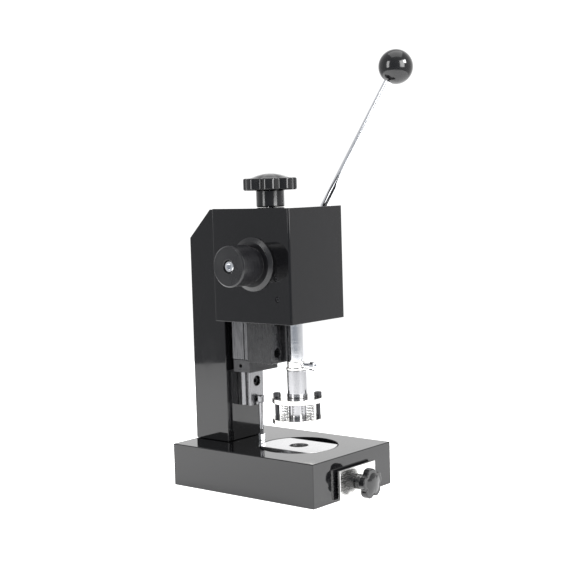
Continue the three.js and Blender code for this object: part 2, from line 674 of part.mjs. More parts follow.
function railGroup() {
  const meshes = [piece("linear_rail", linearRail(), steel())];
  const seat = RAIL_FRONT + RAIL_SCREW.depth - GAP;
  railScrewHeights().forEach((z, i) => {
    const screw = capScrew("y", RAIL_SCREW.size, seat - M6_HEAD, seat, RAIL_SCREW.tip, [0, 0, 0]);
    meshes.push(piece(`rail_screw_${i + 1}`, screw, blackScrew(), [0, 0, z]));
  });
  return group(meshes);
}

// A block that straddles the rail, open towards the column.
function straddle(half, front, rear, bottom, top, edge) {
  const body = bevelledBlock(-half, half, front, rear, bottom, top, edge);
  const slot = RAIL.width / 2 + GAP;
  return cut(body, block(-slot, slot, RAIL_FRONT - GAP, rear + 1, bottom - 1, top + 1));
}

const RAM_BOLT = { z: 165, size: 3, head: 19, seat: 12, tip: RAM.y + 1 };
const BRACKET_SCREW = { x: 17.5, low: 147, high: 182, size: 3, seat: 8, tip: 27 };

function bracketScrewPlaces() {
  const places = [];
  for (const z of [BRACKET_SCREW.low, BRACKET_SCREW.high]) {
    for (const x of [-BRACKET_SCREW.x, BRACKET_SCREW.x]) places.push([x, z]);
  }
  return places;
}

function carriageBody() {
  const { width, front, rear, bottom, top } = CARRIAGE;
  const holes = bracketScrewPlaces().map(([x, z]) => (
    rod("y", BRACKET_SCREW.size + GAP, front - 1, BRACKET_SCREW.tip + 1, [x, 0, z], SMALL)
  ));
  return cut(straddle(width / 2, front, rear, bottom, top, 0.6), ...holes);
}

function carriageEnd(bottom) {
  const { width, front, rear, cap } = CARRIAGE;
  return straddle(width / 2 - 0.5, front + 0.5, rear - 0.5, bottom, bottom + cap, 0.8);
}

// The bracket bolts to the carriage and reaches forward to a saddle behind the ram.
function slideBracket() {
  const { width, front, bottom, top, nose, noseDepth } = BRACKET;
  const rear = CARRIAGE.front - GAP;
  const body = bevelledBlock(-width / 2, width / 2, front, rear, bottom, top, 0.8);
  const saddle = block(-nose, nose, front - noseDepth, front + 1, bottom + 2, top);
  const cuts = [rod("z", RAM.radius + GAP, bottom - 1, top + 1, [0, RAM.y, 0])];
  for (const [x, z] of bracketScrewPlaces()) {
    const { size, seat } = BRACKET_SCREW;
    cuts.push(rod("y", size * HEAD_RATIO + GAP, front - 1, seat, [x, 0, z], SMALL));
    cuts.push(rod("y", size + GAP, front, rear + 1, [x, 0, z], SMALL));
  }
  cuts.push(rod("y", RAM_BOLT.size * HEAD_RATIO + GAP, RAM_BOLT.seat, rear + 1, [0, 0, RAM_BOLT.z], SMALL));
  cuts.push(rod("y", RAM_BOLT.size + GAP, RAM.y, RAM_BOLT.seat + 1, [0, 0, RAM_BOLT.z], SMALL));
  return cut(join(body, saddle), ...cuts);
}

function slideGroup() {
  const { bottom, top, cap } = CARRIAGE;
  const meshes = [
    piece("carriage_body", carriageBody(), steel()),
    piece("carriage_end_lower", carriageEnd(bottom - GAP - cap), dark()),
    piece("carriage_end_upper", carriageEnd(top + GAP), dark()),
    piece("slide_bracket", slideBracket(), dark()),
    piece("ram_bolt",
      capScrew("y", RAM_BOLT.size, RAM_BOLT.head, RAM_BOLT.seat + GAP, RAM_BOLT.tip, [0, 0, 0]), blackScrew(),
      [0, 0, RAM_BOLT.z]),
  ];
  bracketScrewPlaces().forEach(([x, z], i) => {
    const seat = BRACKET_SCREW.seat - GAP;
    const screw = capScrew("y", BRACKET_SCREW.size, seat - M6_HEAD, seat, BRACKET_SCREW.tip, [0, 0, 0]);
    meshes.push(piece(`bracket_screw_${i + 1}`, screw, steel(), [x, 0, z]));
  });
  return group(meshes);
}

// ---- ram, punch and stripper, drawn about the ram axis ------------------------------------------

const COLLAR = {
  radius: 11.5, bottom: 128.5, top: 137.5, screw: 3, screwZ: 133, screwHead: -25.5, screwSeat: -19.4,
};
const SOCKET = { radius: PUNCH.shank + GAP, top: PUNCH.shankTop + 1 };

const RACK = { first: -2, last: 9, bottom: 230 };

// A gap between two rack teeth, as a wedge-shaped bar along X, centred on height z.
function rackGap(z) {
  const halfAt = (y) => PITCH / 4 + TOOTH.play + (y - RACK_LINE) * Math.tan(TOOTH.pressure);
  const deep = RACK_LINE - RACK_DEDENDUM;
  const open = RACK_LINE + RACK_ADDENDUM + 1;
  const outline = new THREE.Shape();
  outline.moveTo(deep, -halfAt(deep));
  outline.lineTo(open, -halfAt(open));
  outline.lineTo(open, halfAt(open));
  outline.lineTo(deep, halfAt(deep));
  outline.closePath();
  const length = 4 * RAM.radius;
  const bar = extruded(outline, length).rotateX(Math.PI / 2).rotateZ(Math.PI / 2);
  return solid(bar.translate(-length / 2, 0, z));
}

function ram() {
  const { radius, bottom, top } = RAM;
  const edge = 1;
  const bar = turned("z", [
    [0, bottom], [radius, bottom], [radius, top - edge], [radius - edge, top], [0, top],
  ]);
  const cuts = [
    block(-radius - 1, radius + 1, RACK_LINE + RACK_ADDENDUM, radius + 1, RACK.bottom, top + 1),
    rod("z", SOCKET.radius, bottom - 1, SOCKET.top, [0, 0, 0], SMALL),
    rod("y", COLLAR.screw + GAP, -radius - 1, -SOCKET.radius + 1, [0, 0, COLLAR.screwZ], SMALL),
    rod("y", RAM_BOLT.size + GAP, RAM_BOLT.tip - RAM.y - 1, radius + 1, [0, 0, RAM_BOLT.z], SMALL),
  ];
  for (let i = RACK.first; i <= RACK.last; i += 1) cuts.push(rackGap(PINION.z + i * PITCH));
  return cut(bar, ...cuts);
}

function clampCollar() {
  const collar = ring("z", COLLAR.radius, RAM.radius + GAP, COLLAR.bottom, COLLAR.top);
  const hole = rod("y", COLLAR.screw + GAP, -COLLAR.radius - 1, 0, [0, 0, COLLAR.screwZ], SMALL);
  return cut(collar, hole);
}

function clampScrew() {
  const tip = -PUNCH.shank - GAP;
  return capScrew("y", COLLAR.screw, COLLAR.screwHead, COLLAR.screwSeat, tip, [0, 0, 0]);
}

function punch() {
  const plateTop = PLATE.bottom + PLATE.thickness;
  const shoulder = plateTop + GAP;
  const bodyTop = RAM.bottom - GAP;
  return turned("z", [
    [0, PUNCH.tip], [PUNCH.radius - GAP, PUNCH.tip], [PUNCH.radius - GAP, shoulder], [PUNCH.body, shoulder],
    [PUNCH.body, bodyTop], [PUNCH.shank, bodyTop], [PUNCH.shank, PUNCH.shankTop], [0, PUNCH.shankTop],
  ], [0, 0, 0], 32);
}

const polar = (circle, angle) => [circle * Math.cos(angle), circle * Math.sin(angle)];
const shoulderPlaces = () => [0, Math.PI].map((turn) => polar(SHOULDER.circle, SHOULDER.angle + turn));

function springPlaces() {
  const places = [];
  for (let i = 0; i < 4; i += 1) {
    places.push(polar(SPRING.circle, SHOULDER.angle + Math.PI / 4 + i * Math.PI / 2));
  }
  return places;
}

function punchPlate() {
  const { radius, bottom, thickness } = PLATE;
  const disc = ring("z", radius, PUNCH.radius, bottom, bottom + thickness, [0, 0, 0], 40);
  const holes = shoulderPlaces().map(([x, y]) => (
    rod("z", SHOULDER.radius + GAP, bottom - 1, bottom + thickness + 1, [x, y, 0], SMALL)
  ));
  return cut(disc, ...holes);
}

function stripperRing() {
  const { bottom, thickness } = STRIPPER;
  const disc = ring("z", PLATE.radius, PUNCH.radius + 0.4, bottom, bottom + thickness, [0, 0, 0], 40);
  const threads = shoulderPlaces().map(([x, y]) => (
    rod("z", SHOULDER.thread + GAP, bottom + 1, bottom + thickness + 1, [x, y, 0], SMALL)
  ));
  return cut(disc, ...threads);
}

function shoulderScrew() {
  const { radius, thread, head, headHeight, foot, socket, socketFloor } = SHOULDER;
  const edge = 0.5;
  const tip = STRIPPER.bottom + foot;
  const ringTop = STRIPPER.bottom + STRIPPER.thickness + GAP;
  const seat = PLATE.bottom + PLATE.thickness + GAP;
  const top = seat + headHeight;
  const screw = turned("z", [
    [0, tip], [thread, tip], [thread, ringTop], [radius, ringTop], [radius, seat],
    [head, seat], [head, top - edge], [head - edge, top], [0, top],
  ], [0, 0, 0], SMALL);
  return cut(screw, rod("z", socket, seat + socketFloor, top + 1, [0, 0, 0], 6));
}

function ramGroup() {
  const meshes = [
    piece("ram", ram(), chrome()),
    piece("clamp_collar", clampCollar(), nickel()),
    piece("clamp_screw", clampScrew(), chrome(), [0, 0, COLLAR.screwZ]),
    piece("punch", punch(), nickel()),
    piece("punch_plate", punchPlate(), nickel()),
    piece("stripper_ring", stripperRing(), nickel()),
  ];
  shoulderPlaces().forEach(([x, y], i) => {
    meshes.push(piece(`shoulder_screw_${i + 1}`, shoulderScrew(), blackScrew(), [x, y, 0]));
  });
  const springBottom = STRIPPER.bottom + STRIPPER.thickness + GAP;
  const springTop = PLATE.bottom - GAP;
  springPlaces().forEach(([x, y], i) => {
    const wound = coil(SPRING.radius, SPRING.wire, SPRING.turns, 0, springTop - springBottom, 8);
    meshes.push(piece(`stripper_spring_${i + 1}`, wound, steel(), [x, y, springBottom]));
  });
  return group(meshes, [0, RAM.y, 0]);
}

// ---- disc drawer --------------------------------------------------------------------------------

const STUD = { radius: 3, reach: 3 };
const DRAWER_STAR = { radius: 16, hub: 8, hubHeight: 11, rim: 8, dome: 2, lobes: 5 };

function drawerTray() {
  const { half, bottom, top, rear, wall } = DRAWER;
  const front = BASE_FRONT + GAP;
  const bin = block(-half, half, front, rear, bottom, top);
  const inside = block(-half + wall, half - wall, front + 2 * wall, rear - wall, bottom + wall, top + 1);
  const hole = rod("y", STUD.radius + GAP, front - 1, front + 2 * wall + 1, [0, 0, DRAWER_KNOB_Z], SMALL);
  return cut(bin, inside, hole);
}

function drawerFront() {
  const { half, bottom, top, thickness } = FRONT_PLATE;
  const plate = block(-half, half, 0, thickness, bottom, top);
  return cut(plate, rod("y", STUD.radius + GAP, -1, thickness + 1, [0, 0, DRAWER_KNOB_Z], SMALL));
}

// The small knob and the stud moulded into it.
function drawerKnob() {
  const star = starKnob(DRAWER_STAR, 1, 0);
  const foot = -FRONT_PLATE.thickness - FRONT_PLATE.gap - STUD.reach;
  const stud = rod("z", STUD.radius, foot, 1, [0, 0, 0], SMALL);
  return join(star, stud);
}

function drawerGroup() {
  const plateFront = BASE_FRONT - FRONT_PLATE.gap - FRONT_PLATE.thickness;
  return group([
    piece("drawer_tray", drawerTray(), steel()),
    piece("drawer_front", drawerFront(), steel(), [0, plateFront, 0]),
    piece("drawer_knob", drawerKnob(), phenolic(), [0, plateFront - GAP, DRAWER_KNOB_Z], [Math.PI / 2, 0, 0]),
  ]);
}

// ---- the machine --------------------------------------------------------------------------------

const machine = new THREE.Group();
machine.add(
  baseGroup(), dieGroup(), stopGroup(), headGroup(), springGroup(), leverGroup(), lockGroup(),
  railGroup(), slideGroup(), ramGroup(), drawerGroup(),
);

export default machine;
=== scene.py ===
"""Looks for the hand-lever disc punch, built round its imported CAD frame. Metres, +Z up, front towards -Y."""
import json
import math

import bmesh
import bpy
from mathutils import Matrix, Quaternion, Vector


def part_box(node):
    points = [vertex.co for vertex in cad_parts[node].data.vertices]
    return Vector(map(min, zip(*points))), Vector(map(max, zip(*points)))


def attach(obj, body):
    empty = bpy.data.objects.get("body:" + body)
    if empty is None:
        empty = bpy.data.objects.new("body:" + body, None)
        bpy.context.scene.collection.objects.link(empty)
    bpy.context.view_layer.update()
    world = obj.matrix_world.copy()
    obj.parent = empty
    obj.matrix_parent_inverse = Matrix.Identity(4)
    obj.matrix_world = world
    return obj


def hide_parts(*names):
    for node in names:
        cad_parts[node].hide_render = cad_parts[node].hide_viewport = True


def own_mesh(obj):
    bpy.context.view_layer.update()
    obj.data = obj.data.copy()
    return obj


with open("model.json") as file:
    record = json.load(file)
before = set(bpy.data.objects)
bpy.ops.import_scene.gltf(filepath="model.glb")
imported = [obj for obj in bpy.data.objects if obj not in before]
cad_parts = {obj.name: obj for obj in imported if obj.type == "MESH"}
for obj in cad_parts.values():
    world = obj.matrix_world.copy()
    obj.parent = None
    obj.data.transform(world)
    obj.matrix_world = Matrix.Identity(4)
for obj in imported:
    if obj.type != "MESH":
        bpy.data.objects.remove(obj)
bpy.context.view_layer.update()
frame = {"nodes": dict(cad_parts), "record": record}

MM = 0.001
GAP = 0.3 * MM
ROUND = 96                    # sides of a large round
FINE_ROUND = 128              # sides of a large round whose edge shows in the photo
SMALL_ROUND = 40              # sides of a screw
HEXAGON = 6                   # sides of a socket
ON_AXIS = 1e-9                # a radius below this is a point on the axis
LOBE_BREADTH = 2.2            # a star knob's lobes are broader, and its scallops narrower, as this grows


# ---- places read from the frame

def low(node):
    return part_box(node)[0]


def high(node):
    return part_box(node)[1]


def centre(node):
    lowest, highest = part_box(node)
    return (lowest + highest) / 2


def size(node):
    lowest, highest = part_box(node)
    return highest - lowest


def under(node):
    """The point at height 0 below the node's centre, where an upright piece or cutter is put."""
    middle = centre(node)
    return middle.x, middle.y, 0


def level(node):
    """The point on the YZ plane beside the node's centre, where a piece that lies along X is put."""
    middle = centre(node)
    return 0, middle.y, middle.z


def abreast(node):
    """The point on the XZ plane in front of the node's centre, where a piece that lies along Y is put."""
    middle = centre(node)
    return middle.x, 0, middle.z


RAM_AXIS = centre("ram")
RAM_AT = under("ram")
PINION_AXIS = centre("spring_housing")
PINION_AT = level("spring_housing")
STOP_AT = under("stop_post")
LOCK_AT = under("lock_screw")
DRAWER_STUD_AT = (0, 0, centre("drawer_knob").z)

LEVER_LEAN = math.atan2(0.565, 0.825)     # the rod's lean at rest, up from the horizontal
ROD_THICK, ROD_THIN = 5.2 * MM, 4.6 * MM  # its radius at the hub and at the ball
SHAFT = 8 * MM                            # pinion shaft, radius
CAP_SCREW_HOLE = 3.9 * MM                 # radius of the hole for the end cap's screw
M6_HOLE = 3.3 * MM
M10_HOLE = 5.3 * MM
PUNCH_SHANK = 5 * MM
MODULE, TEETH = 1.5 * MM, 18              # pinion and rack
PRESSURE_ANGLE = math.radians(20)
BACKLASH = 0.16 * MM                      # taken off each flank


# ---- materials

class Shader:
    """A Principled material with a few helpers for its procedural detail."""

    def __init__(self, name, color, roughness, metallic=0.0, ior=1.5):
        self.material = bpy.data.materials.new(name)
        self.material.use_nodes = True
        self.nodes = self.material.node_tree.nodes
        self.links = self.material.node_tree.links
        self.main = self.nodes["Principled BSDF"]
        self.main.inputs["Base Color"].default_value = (*color, 1)
        self.main.inputs["Roughness"].default_value = roughness
        self.main.inputs["Metallic"].default_value = metallic
        self.main.inputs["IOR"].default_value = ior

    def place(self, scale):
        """Object coordinates, stretched by scale (a number or three of them)."""
        where = self.nodes.new("ShaderNodeTexCoord")
        stretch = self.nodes.new("ShaderNodeMapping")
        stretch.inputs["Scale"].default_value = (scale,) * 3 if isinstance(scale, (int, float)) else scale
        self.links.new(where.outputs["Object"], stretch.inputs["Vector"])
        return stretch.outputs["Vector"]

    def noise(self, scale, detail=4.0):
        texture = self.nodes.new("ShaderNodeTexNoise")
        texture.inputs["Scale"].default_value = 1.0
        texture.inputs["Detail"].default_value = detail
        texture.inputs["Roughness"].default_value = 0.55
        self.links.new(self.place(scale), texture.inputs["Vector"])
        return texture.outputs["Fac"]

    def remap(self, value, low_out, high_out, low_in=0.35, high_in=0.65):
        ramp = self.nodes.new("ShaderNodeMapRange")
        ramp.inputs["From Min"].default_value = low_in
        ramp.inputs["From Max"].default_value = high_in
        ramp.inputs["To Min"].default_value = low_out
        ramp.inputs["To Max"].default_value = high_out
        self.links.new(value, ramp.inputs["Value"])
        return ramp.outputs["Result"]

    def vary_roughness(self, value, low_out, high_out):
        self.links.new(self.remap(value, low_out, high_out), self.main.inputs["Roughness"])

    def vary_color(self, value, first, second):
        mix = self.nodes.new("ShaderNodeMix")
        mix.data_type = "RGBA"
        self.links.new(self.remap(value, 0.0, 1.0), mix.inputs["Factor"])
        mix.inputs["A"].default_value = (*first, 1)
        mix.inputs["B"].default_value = (*second, 1)
        self.links.new(mix.outputs["Result"], self.main.inputs["Base Color"])

    def bump(self, value, distance, strength):
        node = self.nodes.new("ShaderNodeBump")
        node.inputs["Distance"].default_value = distance
        node.inputs["Strength"].default_value = strength
        self.links.new(value, node.inputs["Height"])
        self.links.new(node.outputs["Normal"], self.main.inputs["Normal"])


def gloss_black():
    """Thick polished black enamel: near-mirror, a faint orange peel and a little handling haze."""
    shader = Shader("gloss_black", (0.004, 0.004, 0.0045), 0.05, ior=1.5)
    shader.bump(shader.noise(260, 2.0), 0.004 * MM, 0.5)
    shader.vary_roughness(shader.noise((40, 40, 25), 6.0), 0.035, 0.11)
    return shader.material


def satin_black():
    """Blackened steel with a fine milled texture."""
    shader = Shader("satin_black", (0.008, 0.008, 0.009), 0.3, ior=1.45)
    shader.vary_color(shader.noise(160), (0.006, 0.006, 0.007), (0.013, 0.013, 0.014))
    shader.vary_roughness(shader.noise((900, 900, 90)), 0.22, 0.36)
    shader.bump(shader.noise((2400, 2400, 300), 2.0), 0.008 * MM, 0.5)
    return shader.material


def turned_black():
    """Turned and anodised aluminium, black, its tool marks running round the part."""
    shader = Shader("turned_black", (0.006, 0.006, 0.007), 0.3, ior=1.5)
    rings = shader.noise((2600, 40, 40), 3.0)
    shader.vary_roughness(rings, 0.26, 0.34)
    shader.bump(rings, 0.01 * MM, 0.5)
    return shader.material


def grey_steel(name, dark, light, smoothest, roughest):
    """Hardened steel, ground along its length."""
    shader = Shader(name, (dark, dark, dark), smoothest, metallic=1.0)
    lines = shader.noise((1800, 1800, 60), 3.0)
    shader.vary_color(lines, (dark, dark, dark * 1.03), (light, light, light * 1.03))
    shader.vary_roughness(lines, smoothest, roughest)
    shader.bump(lines, 0.006 * MM, 0.5)
    return shader.material


def hard_chrome():
    """Polished chrome plate with hair-fine polishing lines round the part."""
    shader = Shader("hard_chrome", (0.83, 0.84, 0.86), 0.07, metallic=1.0)
    shader.vary_roughness(shader.noise((60, 60, 1400), 3.0), 0.045, 0.12)
    shader.bump(shader.noise((50, 50, 2600), 2.0), 0.004 * MM, 0.35)
    return shader.material


def ground_steel():
    """Surface-ground steel: fine straight lines along X and a soft sheen."""
    shader = Shader("ground_steel", (0.62, 0.62, 0.63), 0.26, metallic=1.0)
    lines = shader.noise((40, 2600, 2600), 3.0)
    shader.vary_color(lines, (0.56, 0.56, 0.57), (0.7, 0.7, 0.7))
    shader.vary_roughness(lines, 0.2, 0.34)
    shader.bump(lines, 0.006 * MM, 0.5)
    return shader.material


def bright_nickel():
    """Turned and nickel-plated steel, warm white, with fine turning rings along its height."""
    shader = Shader("bright_nickel", (0.8, 0.79, 0.765), 0.14, metallic=1.0)
    rings = shader.noise((30, 30, 3200), 2.0)
    shader.vary_color(shader.noise(90), (0.77, 0.76, 0.735), (0.84, 0.83, 0.81))
    shader.vary_roughness(rings, 0.1, 0.2)
    shader.bump(rings, 0.006 * MM, 0.4)
    return shader.material


def bearing_bronze():
    """Turned bronze, with the lines of the cut running round it."""
    shader = Shader("bearing_bronze", (0.55, 0.37, 0.17), 0.3, metallic=1.0)
    shader.vary_color(shader.noise(140), (0.46, 0.3, 0.13), (0.62, 0.43, 0.21))
    shader.vary_roughness(shader.noise((60, 60, 1500)), 0.24, 0.42)
    return shader.material


def black_phenolic():
    """Moulded and buffed phenolic: deep black, slightly softer than the enamel."""
    shader = Shader("black_phenolic", (0.006, 0.006, 0.0065), 0.12, ior=1.55)
    shader.vary_roughness(shader.noise(120, 5.0), 0.08, 0.18)
    shader.bump(shader.noise(420, 2.0), 0.006 * MM, 0.4)
    return shader.material


def black_oxide():
    """The thin mottled black of a stock screw."""
    shader = Shader("black_oxide", (0.03, 0.03, 0.033), 0.3, metallic=0.7)
    shader.vary_color(shader.noise(700), (0.022, 0.022, 0.025), (0.05, 0.05, 0.053))
    shader.vary_roughness(shader.noise(1200), 0.24, 0.42)
    return shader.material


def black_plastic():
    """The carriage's moulded end pieces: a fine spark-eroded grain."""
    shader = Shader("black_plastic", (0.022, 0.022, 0.024), 0.5, ior=1.48)
    grain = shader.noise(3200, 2.0)
    shader.vary_color(shader.noise(220), (0.018, 0.018, 0.02), (0.03, 0.03, 0.032))
    shader.vary_roughness(grain, 0.42, 0.6)
    shader.bump(grain, 0.03 * MM, 0.6)
    return shader.material


def spring_steel():
    """Drawn wire."""
    shader = Shader("spring_steel", (0.62, 0.62, 0.62), 0.22, metallic=1.0)
    shader.vary_roughness(shader.noise(900), 0.16, 0.3)
    return shader.material


def drawer_steel():
    """Brushed stainless sheet, its lines running across the drawer."""
    shader = Shader("drawer_steel", (0.74, 0.735, 0.72), 0.24, metallic=1.0)
    lines = shader.noise((30, 1800, 2400), 4.0)
    shader.vary_color(lines, (0.68, 0.675, 0.66), (0.79, 0.785, 0.77))
    shader.vary_roughness(lines, 0.16, 0.32)
    shader.bump(lines, 0.008 * MM, 0.5)
    return shader.material


FINISHES = {
    "gloss_black": gloss_black(),
    "black_bracket": satin_black(),
    "hard_chrome": hard_chrome(),
    "ground_steel": ground_steel(),
    "bright_nickel": bright_nickel(),
    "bronze": bearing_bronze(),
    "black_phenolic": black_phenolic(),
    "black_oxide": black_oxide(),
    "black_plastic": black_plastic(),
    "spring_steel": spring_steel(),
    "drawer_steel": drawer_steel(),
}
TURNED_BLACK = turned_black()
# Pieces whose surface in the photo differs from the finish that their CAD slot usually gets.
OWN_FINISH = {
    "end_cap": TURNED_BLACK,
    "spring_housing": TURNED_BLACK,
    "carriage_body": grey_steel("carriage_steel", 0.09, 0.14, 0.24, 0.36),
    "linear_rail": grey_steel("rail_steel", 0.18, 0.26, 0.2, 0.3),
    "punch": grey_steel("punch_steel", 0.3, 0.38, 0.14, 0.24),
    "stop_post": grey_steel("stop_steel", 0.2, 0.3, 0.2, 0.3),
}
NODE_SLOT = {row["node"]: row["material_slot"] for row in frame["record"]["subparts"]}
NODE_BODY = {
    node: body
    for body, members in frame["record"]["behaviour"]["bodies"].items()
    for node in members
}


# ---- mesh helpers

TURN = {
    "z": Matrix.Identity(4),
    "x": Matrix.Rotation(math.pi / 2, 4, "Y"),
    "y": Matrix.Rotation(-math.pi / 2, 4, "X"),
}


def link(name, mesh):
    made = bpy.data.objects.new(name, mesh)
    bpy.context.scene.collection.objects.link(made)
    return made


def from_bmesh(name, built):
    bmesh.ops.remove_doubles(built, verts=built.verts, dist=1e-7)
    bmesh.ops.recalc_face_normals(built, faces=built.faces)
    mesh = bpy.data.meshes.new(name)
    built.to_mesh(mesh)
    built.free()
    return link(name, mesh)


def skin(name, rings, built):
    """Joins rings of points, one above the other, with faces. A ring of one point closes the skin there."""
    for first, second in zip(rings, rings[1:]):
        sides = max(len(first), len(second))
        for i in range(sides):
            j = (i + 1) % sides
            corners = [ring[k % len(ring)] for ring, k in ((first, i), (first, j), (second, j), (second, i))]
            unique = list(dict.fromkeys(corners))
            if len(unique) > 2:
                built.faces.new(unique)
    return from_bmesh(name, built)


def put(made, axis="z", at=(0, 0, 0)):
    """Bakes a turn that points local +Z along axis, and a move, into the mesh."""
    made.data.transform(Matrix.Translation(Vector(at)) @ TURN[axis])
    return made


def rounded(points, radius, steps=4):
    """The open outline with each inner corner turned into an arc of about that radius."""
    path = [Vector(point) for point in points]
    result = [path[0]]
    for before, corner, after in zip(path, path[1:], path[2:]):
        back, ahead = before - corner, after - corner
        reach = min(radius, back.length * 0.45, ahead.length * 0.45)
        start = corner + back.normalized() * reach
        end = corner + ahead.normalized() * reach
        for i in range(steps + 1):
            share = i / steps
            bend = start.lerp(corner, share).lerp(corner.lerp(end, share), share)
            result.append(bend)
    result.append(path[-1])
    return [tuple(point) for point in result]


def turned(name, profile, axis="z", at=(0, 0, 0), sides=ROUND):
    """A turned piece from its [radius, place along the axis] profile. It closes on itself or on the axis."""
    built = bmesh.new()
    rings = []
    for radius, place in profile:
        if radius < ON_AXIS:
            rings.append([built.verts.new((0, 0, place))])
            continue
        rings.append([
            built.verts.new((radius * math.cos(a), radius * math.sin(a), place))
            for a in (2 * math.pi * i / sides for i in range(sides))
        ])
    return put(skin(name, rings, built), axis, at)


def bar(radius, start, end, axis="z", at=(0, 0, 0), sides=ROUND):
    """A plain round bar, used as a cutter."""
    return turned("cutter", [(0, start), (radius, start), (radius, end), (0, end)], axis, at, sides)


def drill(radius, start, end, axis="z", at=(0, 0, 0)):
    """A cutter for a screw's hole."""
    return bar(radius, start, end, axis, at, SMALL_ROUND)


def eased(made, width, segments=3, only=None):
    """Rounds the sharp edges of a simple shape before it is carved. only, if given, picks some of them."""
    built = bmesh.new()
    built.from_mesh(made.data)
    sharp = [
        edge for edge in built.edges
        if edge.calc_face_angle(0) > math.radians(30) and (only is None or only(edge))
    ]
    bmesh.ops.bevel(
        built, geom=sharp, offset=width, segments=segments, affect="EDGES", profile=0.5, clamp_overlap=True,
    )
    built.to_mesh(made.data)
    built.free()
    return made


def upright(edge):
    return abs((edge.verts[0].co - edge.verts[1].co).normalized().z) > 0.99


def box_piece(name, lowest, highest):
    """A plain block, used as a cutter or to be eased and carved."""
    built = bmesh.new()
    bmesh.ops.create_cube(built, size=1)
    middle = (Vector(lowest) + Vector(highest)) / 2
    span = Vector(highest) - Vector(lowest)
    place = Matrix.Translation(middle) @ Matrix.Diagonal((*span, 1))
    bmesh.ops.transform(built, matrix=place, verts=built.verts)
    return from_bmesh(name, built)


def pit(radius, floor, mouth, axis="z", at=(0, 0, 0), sides=ROUND, edge=0.35 * MM):
    """A cutter for a round hole, from its floor to its mouth, whose rim it bevels."""
    out = math.copysign(1, mouth - floor)
    profile = [(0, floor), (radius, floor), (radius, mouth - out * edge), (radius + edge, mouth),
               (radius + edge, mouth + out * MM), (0, mouth + out * MM)]
    return turned("cutter", profile, axis, at, sides)


def pulled(name, outline, height, axis="z", at=(0, 0, 0)):
    """A closed 2-D outline pulled from 0 to height along the axis."""
    built = bmesh.new()
    floor = [built.verts.new((x, y, 0)) for x, y in outline]
    roof = [built.verts.new((x, y, height)) for x, y in outline]
    built.faces.new(list(reversed(floor)))
    built.faces.new(roof)
    for i in range(len(outline)):
        j = (i + 1) % len(outline)
        built.faces.new((floor[i], floor[j], roof[j], roof[i]))
    return put(from_bmesh(name, built), axis, at)


def settle(made):
    """Applies every modifier to the mesh."""
    graph = bpy.context.evaluated_depsgraph_get()
    mesh = bpy.data.meshes.new_from_object(made.evaluated_get(graph))
    old = made.data
    made.modifiers.clear()
    made.data = mesh
    bpy.data.meshes.remove(old)
    return made


def carve(made, *cutters, operation="DIFFERENCE"):
    """Cuts the cutters from the piece, or welds them to it, and deletes them."""
    for cutter in cutters:
        modifier = made.modifiers.new("carve", "BOOLEAN")
        modifier.object = cutter
        modifier.operation = operation
        modifier.solver = "MANIFOLD"
    bpy.context.view_layer.update()
    settle(made)
    for cutter in cutters:
        mesh = cutter.data
        bpy.data.objects.remove(cutter)
        bpy.data.meshes.remove(mesh)
    return made


def weld(made, *others):
    return carve(made, *others, operation="UNION")


def soften(made, width, segments=3):
    """Rounds every sharp edge, then sets the shading."""
    modifier = made.modifiers.new("soften", "BEVEL")
    modifier.width = width
    modifier.segments = segments
    modifier.limit_method = "ANGLE"
    modifier.angle_limit = math.radians(30)
    modifier.use_clamp_overlap = True
    return smooth(settle(made))


def smooth(made, angle=40):
    """Smooth shading with true flats: big faces set the normals, and sharp edges stay sharp."""
    made.data.shade_smooth()
    made.data.set_sharp_from_angle(angle=math.radians(angle))
    modifier = made.modifiers.new("flats", "WEIGHTED_NORMAL")
    modifier.keep_sharp = True
    modifier.weight = 100
    return settle(made)


def present(made, node):
    """The piece stands for the CAD node: it takes its body, material slot and finish."""
    made.data.materials.clear()
    made.data.materials.append(OWN_FINISH.get(node, FINISHES[NODE_SLOT[node]]))
    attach(made, NODE_BODY[node])
    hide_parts(node)


# ---- screws

def cap_screw(node, axis, thread, head_end, knurls=36):
    """A socket cap screw in its CAD node's box. head_end is +1 if the head is at the axis's high end."""
    index = "xyz".index(axis)
    lowest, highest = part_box(node)
    head = highest[index] if head_end > 0 else lowest[index]
    tip = lowest[index] if head_end > 0 else highest[index]
    place = centre(node)
    place[index] = 0
    radius = size(node)[(index + 1) % 3] / 2
    depth = min(thread * 2, max(size(node)) * 0.6)
    seat = head - head_end * depth
    edge = 0.45 * MM
    crown = 1.6 * edge
    profile = [
        (0, tip), (thread - edge, tip), (thread, tip + head_end * edge), (thread, seat),
        (radius - edge, seat),
        (radius, seat + head_end * edge), (radius, head - head_end * crown), (radius - crown, head),
        (0, head),
    ]
    made = turned(f"{node}_fine", profile, axis, place, SMALL_ROUND)
    floor = head - head_end * depth * 0.55
    beyond = head + head_end * MM
    carve(made, bar(thread * 0.95, min(floor, beyond), max(floor, beyond), axis, place, HEXAGON))
    smooth(made)
    if knurls:
        knurl(made, axis, place, radius, seat, head, knurls)
    present(made, node)


def knurl(made, axis, place, radius, seat, head, count):
    """Presses fine straight grooves into the head's rim by pulling every other column of points in."""
    index = "xyz".index(axis)
    others = [i for i in range(3) if i != index]
    for vertex in made.data.vertices:
        along = (vertex.co[index] - seat) / (head - seat)
        if not 0.12 < along < 0.88:
            continue
        offset = [vertex.co[i] - place[i] for i in others]
        if math.hypot(*offset) > radius * 0.97:
            turn = math.atan2(offset[1], offset[0])
            if math.cos(count * turn / 2) > 0.2:
                for i, value in zip(others, offset):
                    vertex.co[i] = place[i] + value * 0.975


# ---- base and column

EDGE = 0.9 * MM


